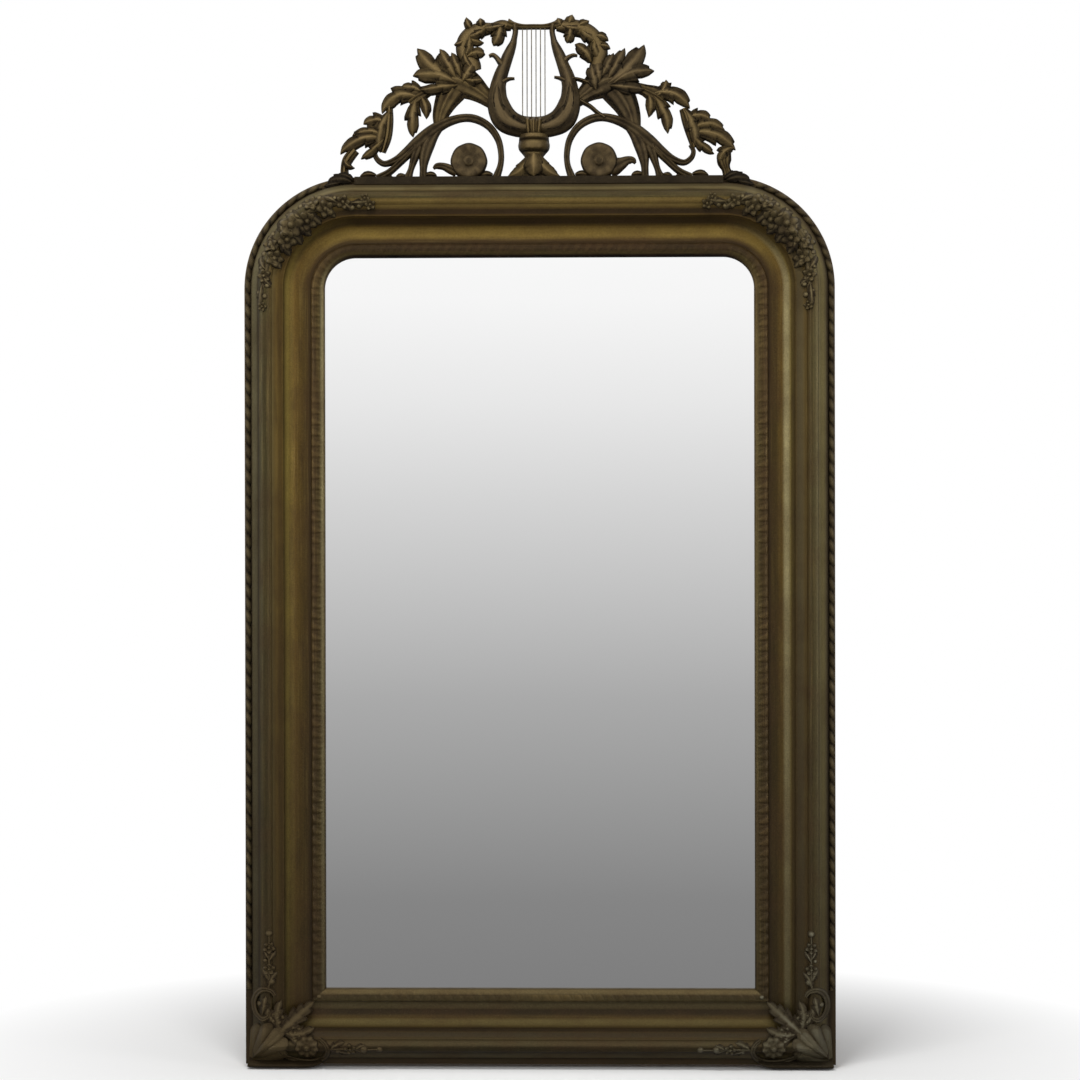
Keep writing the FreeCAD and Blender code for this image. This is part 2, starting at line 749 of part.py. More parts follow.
def crest_limbs(paths, depth, fullness=0.35):
    limbs = [limb(on_crest(path), back_plane, depth, fullness) for path in paths]
    return joined(limbs).cut(behind(back_plane))


def add_carving(label, shape, neighbours=()):
    solid = without(shape, [below_crest] + list(neighbours))
    piece = doc.addObject("Part::Feature", label)
    piece.Shape = solid
    keep(piece, label)
    return solid


# Lyre: one limb from the top of the left arm through the bowl to the top of the right arm
lyre_half = [(31, 246, 11), (29, 236, 9), (31, 218, 9), (37, 198, 12), (46, 178, 17), (53, 162, 21),
             (58, 146, 25), (58, 122, 32), (46, 96, 38), (25, 84, 35)]
lyre_path = mirrored(lyre_half, -1) + [(0, 82, 33)] + mirrored(lyre_half[::-1], 1)
yoke_half = [(42, 248, 17), (32, 245, 12), (18, 243, 9)]
yoke_path = mirrored(yoke_half, -1) + [(0, 243, 8.5)] + mirrored(yoke_half[::-1], 1)
lyre_barbs = [lobe((-58, 170), (-69, 196), 10, 0.2), lobe((58, 170), (65, 193), 10, -0.2),
              lobe((-54, 150), (-33, 158), 7, 0.2), lobe((54, 150), (32, 159), 7, -0.2)]
urn_foot = [(0, -6, 86), (0, 6, 72), (0, 18, 52), (0, 27, 37), (0, 36, 30)]
urn_cup = [(0, 34, 31), (0, 40, 40), (0, 46, 49), (0, 53, 51), (0, 60, 48), (0, 67, 40), (0, 76, 28)]
tie_wrap = [(0, 62, 25), (0, 80, 28), (0, 98, 25)]
tie_flutes = [[(across, 60, 8), (across, 80, 10), (across, 100, 8)] for across in (-9, 0, 9)]

strings = []
for number in range(6):
    across = crest_axis + size("string_spacing") * (number - 2.5)
    strings.append(rod(across, -(size("crest_back") + size("string_out")), height + size("string_foot"),
                       size("string_radius"), size("string_length"), Vector(0, 0, 1)))
doc.recompute()
string_shapes = [string.Shape for string in strings]
group("lyre_strings", strings)

dowels = []
for across in dowel_spots:
    dowels.append(rod(across, -dowel_level, height - size("dowel_depth"), size("dowel_radius"),
                      size("dowel_length"), Vector(0, 0, 1)))
group("crest_dowels", dowels)
dowel_foot = height - size("dowel_depth")
bore_radius = size("dowel_radius") + size("drill_clearance")
bore_length = size("dowel_length") + size("hole_spare")
dowel_bores = [Part.makeCylinder(bore_radius.value, bore_length.value,
                                 Vector(across.value, -dowel_level.value, dowel_foot.value))
               for across in dowel_spots]

yoke = add_carving("lyre_yoke", crest_limbs([yoke_path], size("yoke_depth").value), string_shapes)
lyre_shape = joined([crest_limbs([lyre_path], size("lyre_depth").value, 0.55),
                     crest_limbs(lyre_barbs, size("barb_depth").value)])
lyre = add_carving("lyre_body", lyre_shape, [yoke] + string_shapes)
urn_depth = size("urn_depth").value
urn_shape = joined([crest_limbs([urn_foot], urn_depth), crest_limbs([urn_cup], urn_depth)])
urn = add_carving("lyre_urn", urn_shape, [lyre] + dowel_bores)
tie_shape = joined([crest_limbs([tie_wrap], size("tie_depth").value, 0.9),
                    crest_limbs(tie_flutes, size("flute_depth").value, 0.9)])
add_carving("lyre_tie", tie_shape, [lyre, urn] + string_shapes)

# Scrolls: one C-scroll and three struts, the same on both sides
scroll_path = [(61, -2, 12), (54, 21, 9), (53, 41, 9), (58, 63, 10), (72, 83, 11), (93, 95, 12),
               (115, 97, 12), (140, 90, 14), (163, 77, 18), (184, 59, 20), (204, 42, 16),
               (222, 30, 11), (240, 24, 9), (252, 31, 8), (256, 42, 7), (251, 52, 6)]
struts = [[(160, 74, 14), (172, 52, 13), (179, 26, 11), (178, -2, 12)],
          [(190, 50, 9), (197, 28, 8), (200, 12, 9), (203, -2, 13)],
          [(192, 48, 11), (212, 29, 10), (232, 11, 10), (252, -3, 12)]]
tail = lobe((120, 12), (163, 24), 20, 0.12)


def rosette():
    # Dished disc with eight scallops round its rim and a boss in the middle.
    disc = size("rosette_radius").value
    across = crest_axis.value - size("rosette_spread").value
    up = height.value + size("rosette_rise").value
    outline = [(0, 0), (disc, 0), (disc, 8), (disc * 0.9, 14), (disc * 0.72, 16), (disc * 0.42, 10),
               (disc * 0.26, 10), (disc * 0.2, 16), (0, 19)]
    points = [Vector(across + far, -back_plane - out, up) for far, out in outline]
    face = Part.Face(Part.makePolygon(points + [points[0]]))
    solid = face.revolve(Vector(across, 0, up), Vector(0, 1, 0), 360)
    for number in range(8):
        angle = math.radians(22.5 + 45 * number)
        spot = Vector(across + disc * 1.06 * math.cos(angle), 0, up + disc * 1.06 * math.sin(angle))
        solid = solid.cut(Part.makeCylinder(size("scallop_radius").value, 60, spot, Vector(0, -1, 0)))
    return solid


# Leaves of each side as lobes (base, tip, width, bend) from the crest axis and the top edge
crowns = {
    "left": ([(-38, 247, 14), (-50, 250, 19), (-62, 251, 17), (-74, 250, 17), (-88, 246, 20), (-100, 239, 23),
              (-109, 228, 22), (-113, 215, 20), (-111, 201, 19), (-105, 190, 20), (-98, 178, 18)],
             [((-94, 243), (-107, 262), 12, 0.1), ((-112, 224), (-128, 220), 12, 0.1),
              ((-110, 229), (-81, 228), 15, -0.1), ((-66, 247), (-64, 220), 18, 0.05),
              ((-111, 194), (-80, 204), 24, 0.2)]),
    "right": ([(38, 247, 14), (50, 248, 22), (66, 246, 27), (82, 240, 27), (95, 230, 25), (103, 217, 24),
               (106, 204, 21), (103, 192, 18), (99, 178, 18)],
              [((52, 244), (55, 262), 18, 0.0), ((66, 244), (71, 261), 18, 0.0),
               ((84, 238), (89, 255), 11, 0.0), ((101, 221), (120, 222), 15, 0.1),
               ((104, 209), (122, 209), 11, 0.1), ((62, 244), (56, 222), 19, 0.1),
               ((93, 182), (70, 218), 22, -0.1)]),
}
large_leaves = {
    "left": ([[(-62, 118, 20), (-82, 134, 30), (-100, 147, 44), (-118, 156, 54), (-134, 160, 44)],
              [(-152, 84, 18), (-150, 102, 26), (-142, 122, 36), (-130, 144, 50)]],
             [((-128, 156), (-187, 208), 42, 0.08), ((-124, 158), (-151, 207), 28, 0.0),
              ((-116, 160), (-132, 201), 24, 0.0), ((-124, 152), (-194, 164), 38, -0.1),
              ((-112, 158), (-82, 158), 20, -0.1), ((-115, 152), (-97, 184), 30, 0.0),
              ((-122, 148), (-184, 140), 26, 0.0)]),
    "right": ([[(62, 118, 18), (82, 134, 28), (98, 146, 44), (112, 154, 52), (126, 158, 44)],
               [(160, 80, 24), (155, 100, 33), (146, 120, 42), (132, 142, 52)],
               [(74, 124, 8), (90, 115, 7), (103, 104, 7), (114, 96, 9)],
               [(56, 160, 6), (72, 158, 6), (88, 152, 8)]],
              [((118, 150), (177, 212), 44, -0.08), ((118, 154), (146, 207), 26, 0.0),
               ((108, 158), (128, 199), 24, 0.0), ((128, 150), (193, 170), 34, 0.1),
               ((106, 152), (101, 184), 32, 0.0), ((100, 140), (92, 180), 30, 0.0),
               ((122, 146), (178, 140), 26, 0.0)]),
}
upper_sprigs = {
    "left": ([[(-160, 145, 14), (-174, 139, 20), (-189, 131, 30), (-201, 122, 24)]],
             [((-178, 137), (-213, 146), 24, -0.1), ((-182, 128), (-244, 104), 34, -0.25),
              ((-189, 128), (-194, 66), 28, -0.05), ((-181, 130), (-173, 95), 19, 0.1)]),
    "right": ([[(162, 145, 16), (178, 140, 19), (194, 132, 29), (206, 123, 24)]],
              [((194, 128), (212, 156), 22, -0.15), ((188, 132), (250, 110), 34, 0.2),
               ((194, 134), (239, 126), 24, 0.1), ((192, 130), (215, 70), 28, 0.1),
               ((184, 132), (184, 96), 19, 0.1)]),
}
lower_sprigs = {
    "left": ([[(-232, 116, 10), (-233, 92, 14), (-236, 66, 14), (-243, 42, 9)],
              [(-288, 46, 16), (-300, 30, 17), (-305, 14, 13), (-303, -2, 16)]],
             [((-234, 88), (-274, 87), 26, -0.15), ((-238, 66), (-292, 68), 24, -0.15),
              ((-240, 64), (-311, 39), 32, -0.15), ((-240, 64), (-278, 31), 20, 0.05),
              ((-304, 30), (-288, 17), 12, -0.2)]),
    "right": ([[(240, 110, 14), (247, 92, 20), (253, 70, 18), (257, 48, 10)],
               [(310, 54, 12), (305, 28, 23), (308, 13, 14), (313, -2, 20)]],
              [((246, 94), (284, 91), 26, 0.15), ((252, 74), (307, 73), 27, 0.2),
               ((252, 70), (323, 43), 34, 0.15), ((254, 66), (289, 37), 20, -0.05)]),
}

leaf_depth = size("leaf_depth").value
scroll_depth = size("scroll_depth").value


def across_axis(shape, axis):
    # Mirror image of a shape about a vertical plane.
    return shape.mirror(Vector(axis, 0, 0), Vector(1, 0, 0))


curl = crest_limbs([mirrored(path, -1) for path in [scroll_path] + struts], scroll_depth, 0.5)
flower = joined([rosette(), crest_limbs([mirrored(tail, -1)], size("tail_depth").value)])
for name, side in sides:
    if side > 0:
        curl = across_axis(curl, crest_axis.value)
        flower = across_axis(flower, crest_axis.value)
    scroll = add_carving(f"scroll_{name}", curl, [lyre, urn])
    add_carving(f"rosette_{name}", flower, [scroll] + dowel_bores)
    stalks, lobes = large_leaves[name]
    leaf = crest_limbs(stalks + [lobe(*entry) for entry in lobes], leaf_depth, 0.4)
    leaf = add_carving(f"large_leaf_{name}", leaf, [lyre, scroll])
    stem, lobes = crowns[name]
    crown = crest_limbs([stem] + [lobe(*entry) for entry in lobes], leaf_depth, 0.4)
    add_carving(f"crown_spray_{name}", crown, [yoke, lyre, leaf])
    stalks, lobes = upper_sprigs[name]
    upper = crest_limbs(stalks + [lobe(*entry) for entry in lobes], leaf_depth, 0.4)
    upper = add_carving(f"upper_sprig_{name}", upper, [leaf, scroll])
    stalks, lobes = lower_sprigs[name]
    lower = crest_limbs(stalks + [lobe(*entry) for entry in lobes], leaf_depth, 0.4)
    add_carving(f"lower_sprig_{name}", lower, [upper, scroll])


# Block and iron strap that brace the crest from behind

block_width = size("brace_block_width")
brace_block = new_body("crest_back_block")
block_face = new_sketch(brace_block, "XZ_Plane")
draw_box(block_face, crest_axis - block_width / 2, crest_axis + block_width / 2,
         height, height + size("brace_block_height"))
draw_holes(block_face, [(crest_axis, level) for level in brace_screw_levels[2:]])
add_pad(brace_block, block_face, size("crest_back"))

brace = new_body("crest_brace")
brace_face = new_sketch(brace, "XZ_Plane")
draw_box(brace_face, crest_axis - size("brace_width") / 2, crest_axis + size("brace_width") / 2,
         height - size("brace_length") / 2, height + size("brace_length") / 2)
draw_holes(brace_face, [(crest_axis, level) for level in brace_screw_levels])
add_pad(brace, brace_face, size("strap_thickness"), backwards=True)
for level in brace_screw_levels:
    iron_screws.append(screw(crest_axis, size("strap_thickness"), level))
group("iron_screws", iron_screws)


# Corner ornament, cut to lie on the mouldings

def on_corner(along, across, side):
    # Point a given way along the frame from the start of a top corner, and in from its edge.
    turn = radius.value * math.pi / 2
    if along <= 0:
        return side * (half_width.value - across), spring_line.value + along
    if along >= turn:
        return side * (half_width.value - radius.value - (along - turn)), height.value - across
    spot = corner_point(side, along / radius.value, radius.value - across)
    return spot.x, spot.y


def corner_path(stations, side):
    return [on_corner(along, across, side) + (width,) for along, across, width in stations]


spray_stem = [(-30, 30, 5), (0, 32, 8), (50, 36, 9), (95, 38, 10), (140, 39, 11), (185, 38, 10), (235, 36, 9),
              (275, 33, 8), (300, 31, 5)]
spray_lobes = [((4, 31), (-34, 26), 13, 0.0), ((20, 33), (2, 46), 13, 0.0),
               ((36, 34), (58, 20), 14, 0.1), ((62, 36), (46, 58), 16, 0.0),
               ((78, 38), (102, 19), 17, 0.1), ((100, 39), (84, 64), 19, 0.0),
               ((118, 39), (136, 17), 19, 0.1), ((132, 40), (124, 70), 21, 0.0),
               ((148, 40), (158, 70), 21, 0.0), ((162, 39), (144, 17), 19, -0.1),
               ((180, 39), (196, 64), 19, 0.0), ((202, 38), (178, 19), 17, -0.1),
               ((216, 37), (234, 58), 16, 0.0), ((244, 35), (222, 20), 14, -0.1),
               ((260, 34), (278, 46), 13, 0.0), ((276, 33), (308, 28), 13, 0.0)]
cartouche_limbs = [[(9, 6, 24), (30, 25, 46), (55, 47, 62), (81, 69, 54), (104, 88, 30), (120, 100, 8)],
                   [(24, 62, 11), (20, 80, 12), (20, 98, 12), (27, 113, 11), (38, 121, 10), (48, 119, 8),
                    (50, 110, 6)],
                   [(62, 24, 11), (80, 15, 12), (98, 11, 12), (114, 13, 11), (126, 20, 10), (134, 31, 8),
                    (128, 38, 6)]]
cartouche_lobes = [((38, 126), (35, 166), 15, 0.0), ((37, 163), (36, 200), 13, 0.0),
                   ((37, 198), (39, 224), 10, 0.0), ((132, 29), (172, 34), 15, 0.0),
                   ((172, 32), (206, 31), 13, 0.0), ((206, 31), (234, 31), 10, 0.0),
                   ((58, 64), (64, 116), 26, 0.0), ((68, 58), (120, 66), 26, 0.0)]
foot_path = [(5, 1, 12), (30, 1, 13), (70, 1, 13), (104, 1, 12), (124, 5, 7)]

doc.recompute()
outer = -half_width.value
spray_paths = [spray_stem] + [lobe(*entry) for entry in spray_lobes]
spray = joined([limb(corner_path(path, -1), size("spray_back").value, size("spray_depth").value, 0.8)
                for path in spray_paths])
rails = [moulding_runs[key].Shape for key in ("left", "corner_left", "top")]
spray = without(spray, [behind(size("spray_back").value)] + rails)


def from_outer_edge(path):
    return [(outer + away, up, width) for away, up, width in path]


cartouche_paths = cartouche_limbs + [lobe(*entry) for entry in cartouche_lobes]
shells = [limb(from_outer_edge(path), size("cartouche_back").value, size("cartouche_depth").value, 0.75)
          for path in cartouche_paths]
shells.append(limb(from_outer_edge(foot_path), size("foot_back").value, size("foot_depth").value, 0.8))
shells = joined(shells)


def mitre_wedge(side):
    # Block on one side of the bottom left mitre: 1 is the bottom run, -1 the side run.
    along = Vector(moulding.value, 0, bottom.value).normalize()
    away = Vector(along.z, 0, -along.x) * 500 * side
    low = Vector(outer, -150, 0) - along * 100
    high = Vector(outer, -150, 0) + along * 500
    return Part.Face(Part.makePolygon([low, high, high + away, low + away, low])).extrude(Vector(0, 200, 0))


# The ornament is parted on the mitre, so that each half lies on its own run.
halves = []
for key, side in (("left", 1), ("bottom", -1)):
    tools = [moulding_runs[key].Shape, band_runs[key].Shape, mitre_wedge(side),
             behind(size("foot_back").value)]
    halves.extend(without(shells, tools).Solids)
cartouche = Part.makeCompound(halves)

for name, side in sides:
    for label, shape in (("corner_spray", spray), ("corner_cartouche", cartouche)):
        piece = doc.addObject("Part::Feature", f"{label}_{name}")
        piece.Shape = shape if side < 0 else across_axis(shape, 0)
        keep(piece, f"{label}_{name}")


# Checks and export

doc.recompute()
for thing in doc.Objects:
    if "Invalid" in thing.State or "Error" in thing.State:
        raise RuntimeError(f"{thing.Label} does not build: {thing.State}")
os.makedirs("parts", exist_ok=True)
for piece in pieces:
    if piece.Shape.isNull() or not piece.Shape.isValid():
        raise RuntimeError(f"{piece.Label} has no valid shape")
    piece.Shape.exportStep(f"parts/{piece.Label}.step")
    box_size = piece.Shape.BoundBox
    print(f"{piece.Label}: {piece.Shape.Volume:.0f} mm3, {len(piece.Shape.Solids)} solids,"
          f" {box_size.XLength:.1f} x {box_size.YLength:.1f} x {box_size.ZLength:.1f} mm")
print(f"{len(pieces)} pieces")
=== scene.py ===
import math
import bpy
import numpy as np
from mathutils import Matrix, Vector


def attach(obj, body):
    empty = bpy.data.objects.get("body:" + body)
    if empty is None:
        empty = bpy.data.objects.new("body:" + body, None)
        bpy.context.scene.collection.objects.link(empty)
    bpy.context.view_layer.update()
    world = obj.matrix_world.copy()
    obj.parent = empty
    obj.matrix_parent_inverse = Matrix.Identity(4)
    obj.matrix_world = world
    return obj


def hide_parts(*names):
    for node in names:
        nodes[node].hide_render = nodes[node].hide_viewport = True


# Pier mirror with a lyre crest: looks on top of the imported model.
# Tables are in millimetres: across, up, and height above the back face, which is -y.

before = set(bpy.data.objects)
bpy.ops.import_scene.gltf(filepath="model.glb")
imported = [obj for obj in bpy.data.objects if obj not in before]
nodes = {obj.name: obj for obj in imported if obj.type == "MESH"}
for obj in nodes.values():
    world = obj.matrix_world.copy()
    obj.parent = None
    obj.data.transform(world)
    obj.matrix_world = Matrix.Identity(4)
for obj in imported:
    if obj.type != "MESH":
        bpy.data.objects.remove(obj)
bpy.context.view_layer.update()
milli = 0.001
print("frame loaded,", len(nodes), "nodes")


# Number and mesh helpers

def unit(value):
    return np.clip(value, 0.0, 1.0)


def bell(value, centre, reach):
    # Bell curve that is one at its centre.
    return np.exp(-((value - centre) / reach) ** 2)


def gridOf(across, height, up):
    # Points of a grid; height counts forward from the back face.
    return np.stack(np.broadcast_arrays(across, -height, up), -1)


def outward(points, faces):
    # Signed volume by fans of triangles; when it is negative every face is turned round.
    volume = 0.0
    for face in faces:
        first, second, third = points[face[:, :1]], points[face[:, 1:-1]], points[face[:, 2:]]
        volume += np.sum(first * np.cross(second, third))
    return faces if volume > 0 else [face[:, ::-1] for face in faces]


def ringShell(grid, marks):
    # Grid of stations by ring points: quads round the ring, one flat face at each end.
    count, ring = grid.shape[:2]
    index = np.arange(count * ring).reshape(count, ring)
    after = np.roll(index, -1, axis=1)
    quads = np.stack([index[:-1], after[:-1], after[1:], index[1:]], axis=-1).reshape(-1, 4)
    caps = np.stack([index[0][::-1], index[-1]])
    points = grid.reshape(-1, 3)
    values = {name: np.broadcast_to(mark, (count, ring)).reshape(-1) for name, mark in marks.items()}
    return {"points": points, "faces": outward(points, [quads, caps]), "marks": values}


def mirrored(shells, axis):
    # The same shells on the other side of an upright plane.
    copies = []
    for shell in shells:
        points = shell["points"] * np.array([-1.0, 1.0, 1.0]) + np.array([2.0 * axis, 0.0, 0.0])
        copies.append({"points": points, "faces": outward(points, shell["faces"]), "marks": shell["marks"]})
    return copies


def linkObject(name, data):
    thing = bpy.data.objects.new(name, data)
    bpy.context.scene.collection.objects.link(thing)
    return thing


pointMarks = ("hollow", "across", "along", "top", "side")


def makePiece(name, shells, finish, crease=40):
    # Joins shells into one mesh in metres that stands for the node of the same name.
    starts = np.cumsum([0] + [len(shell["points"]) for shell in shells])
    faces = [face + start for shell, start in zip(shells, starts) for face in shell["faces"]]
    loops = np.concatenate([face.reshape(-1) for face in faces])
    corners = np.concatenate([np.full(len(face), face.shape[1]) for face in faces])
    points = np.concatenate([shell["points"] for shell in shells]) * milli
    mesh = bpy.data.meshes.new(name)
    mesh.vertices.add(starts[-1])
    mesh.vertices.foreach_set("co", points.astype(np.float32).reshape(-1))
    mesh.loops.add(len(loops))
    mesh.loops.foreach_set("vertex_index", loops.astype(np.int32))
    mesh.polygons.add(len(corners))
    mesh.polygons.foreach_set("loop_start", (np.cumsum(corners) - corners).astype(np.int32))
    for mark in pointMarks:
        values = [shell["marks"].get(mark, np.zeros(len(shell["points"]))) for shell in shells]
        layer = mesh.attributes.new(mark, "FLOAT", "POINT")
        layer.data.foreach_set("value", np.concatenate(values).astype(np.float32))
    mesh.update(calc_edges=True)
    mesh.validate()
    mesh.shade_smooth()
    mesh.set_sharp_from_angle(angle=math.radians(crease))
    mesh.materials.append(finishes[finish])
    piece = linkObject(name + "_looks", mesh)
    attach(piece, "frame")
    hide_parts(name)


# Shader helpers

def addNode(tree, kind, links=None, **values):
    # New node with its properties set, and links or numbers on named or numbered inputs.
    node = tree.nodes.new(kind)
    for key, value in values.items():
        setattr(node, key, value)
    for key, value in (links or {}).items():
        if isinstance(value, bpy.types.NodeSocket):
            tree.links.new(value, node.inputs[key])
        else:
            node.inputs[key].default_value = value
    return node


def openGroup(name, inputs):
    # Shader group; the kind of each input socket follows from its first value.
    group = bpy.data.node_groups.new(name, "ShaderNodeTree")
    for label, value in inputs.items():
        kind = "Float" if isinstance(value, float) else "Color" if len(value) == 4 else "Vector"
        socket = group.interface.new_socket(label, in_out="INPUT", socket_type="NodeSocket" + kind)
        socket.default_value = value
    return group, addNode(group, "NodeGroupInput").outputs


def closeGroup(group, outputs):
    for label in outputs:
        kind = "Color" if label == "Color" else "Float"
        group.interface.new_socket(label, in_out="OUTPUT", socket_type="NodeSocket" + kind)
    addNode(group, "NodeGroupOutput", outputs)
    return group


def mathNode(tree, operation, first, second=0.0, third=0.0, clamp=False):
    links = {0: first, 1: second, 2: third}
    return addNode(tree, "ShaderNodeMath", links, operation=operation, use_clamp=clamp).outputs[0]


def times(tree, first, second, clamp=False):
    return mathNode(tree, "MULTIPLY", first, second, clamp=clamp)


def timesPlus(tree, first, second, third):
    return mathNode(tree, "MULTIPLY_ADD", first, second, third)


def mixColour(tree, share, first, second, blend="MIX"):
    links = {0: share, 6: first, 7: second}
    return addNode(tree, "ShaderNodeMix", links, data_type="RGBA", blend_type=blend).outputs[2]


def spread(tree, value, low, high, start=0.0, end=1.0):
    return addNode(tree, "ShaderNodeMapRange", {0: value, 1: low, 2: high, 3: start, 4: end}).outputs[0]


def noiseAt(tree, place, scale, detail, rough):
    links = {"Vector": place, "Scale": scale, "Detail": detail, "Roughness": rough}
    return addNode(tree, "ShaderNodeTexNoise", links).outputs["Fac"]


def toneRamp(tree, share, stops):
    # Colour ramp through places from 0 to 1 and their colours.
    ramp = addNode(tree, "ShaderNodeValToRGB", {0: share})
    elements = ramp.color_ramp.elements
    for place, colour in stops[1:-1]:
        elements.new(place).color = colour
    elements[0].color = stops[0][1]
    elements[-1].color = stops[-1][1]
    return ramp.outputs[0]


def objectPlace(tree):
    return addNode(tree, "ShaderNodeTexCoord").outputs["Object"]


def readMark(tree, name):
    return addNode(tree, "ShaderNodeAttribute", attribute_name=name, attribute_type="GEOMETRY").outputs["Fac"]


def rgb(red, green, blue):
    # Display values from 0 to 255 to linear light.
    parts = np.array([red, green, blue]) / 255.0
    linear = np.where(parts <= 0.04045, parts / 12.92, ((parts + 0.055) / 1.055) ** 2.4)
    return tuple(float(part) for part in linear) + (1.0,)


def emptyTree(owner):
    owner.use_nodes = True
    owner.node_tree.nodes.clear()
    return owner.node_tree


def newMaterial(name):
    material = bpy.data.materials.new(name)
    return material, emptyTree(material)


def paint(tree, sockets, height=None, strength=0.0, distance=0.0):
    # Principled shader with links or numbers on its sockets, and a bump where there is a height.
    shader = addNode(tree, "ShaderNodeBsdfPrincipled", sockets)
    if height is not None:
        bump = addNode(tree, "ShaderNodeBump", {"Height": height, "Strength": strength, "Distance": distance})
        tree.links.new(bump.outputs[0], shader.inputs["Normal"])
    addNode(tree, "ShaderNodeOutputMaterial", {"Surface": shader.outputs[0]})


# Old gilding: broad patches of bare bole, fine speckle, rubbed ridges with painted highlights, grime in the
# hollows and painted shade along carved edges, specks of dust

def buildPatina():
    group, source = openGroup("oldGilding", {
        "Gold": rgb(120, 100, 55), "Bole": rgb(80, 50, 28), "Grime And Shade": rgb(22, 16, 9),
        "Rubbed And Highlight": rgb(150, 124, 74), "Hollow": 0.0, "Patch Size": 26.0, "Bole Amount": 0.5})
    place = objectPlace(group)
    broad = noiseAt(group, place, source["Patch Size"], 5.0, 0.6)
    fine = noiseAt(group, place, 420.0, 3.0, 0.6)
    speck = noiseAt(group, place, 950.0, 2.0, 0.5)
    bare = times(group, spread(group, broad, 0.42, 0.68), source["Bole Amount"])
    tinted = mixColour(group, bare, source["Gold"], source["Bole"])
    mottled = mixColour(group, 1.0, tinted, spread(group, fine, 0.3, 0.7, 0.78, 1.16), "MULTIPLY")
    loose = timesPlus(group, spread(group, fine, 0.35, 0.65), 0.5, 0.62)
    # grime, and painted shade on carved edges, where the mark is positive; rubbed tone and painted highlights
    # where it is negative
    dirt = times(group, source["Hollow"], loose, clamp=True)
    ridge = times(group, source["Hollow"], -1.0, clamp=True)
    rubAndHighlight = times(group, ridge, spread(group, broad, 0.35, 0.6, 0.25, 1.0), clamp=True)
    rubbed = mixColour(group, rubAndHighlight, mottled, source["Rubbed And Highlight"])
    dirty = mixColour(group, dirt, rubbed, source["Grime And Shade"])
    dust = times(group, spread(group, speck, 0.66, 0.74), 0.22, clamp=True)
    return closeGroup(group, {
        "Color": mixColour(group, dust, dirty, rgb(140, 125, 95)),
        "Roughness": timesPlus(group, dirt, 0.3, spread(group, broad, 0.3, 0.7, 0.36, 0.52)),
        "Height": timesPlus(group, fine, 0.7, times(group, broad, 0.6))})


# Streaks that run along a moulding: thin rubbed lines and broader dark patches

def buildStreaks():
    group, source = openGroup("rubbedStreaks", {
        "Color": rgb(120, 100, 55), "Across": 0.0, "Along": 0.0, "Strength": 0.4})

    def stretched(acrossScale, alongScale):
        links = {0: times(group, source["Across"], acrossScale), 1: times(group, source["Along"], alongScale)}
        return addNode(group, "ShaderNodeCombineXYZ", links).outputs[0]

    lines = noiseAt(group, stretched(0.42, 0.006), 1.0, 4.0, 0.6)
    patches = noiseAt(group, stretched(0.1, 0.012), 1.0, 3.0, 0.5)
    light = times(group, spread(group, lines, 0.5, 0.75), source["Strength"])
    dark = times(group, spread(group, patches, 0.5, 0.72), source["Strength"])
    rubbed = mixColour(group, light, source["Color"], rgb(128, 108, 62))
    return closeGroup(group, {"Color": mixColour(group, dark, rubbed, rgb(42, 30, 17)), "Height": lines})


oldGilding = buildPatina()
rubbedStreaks = buildStreaks()

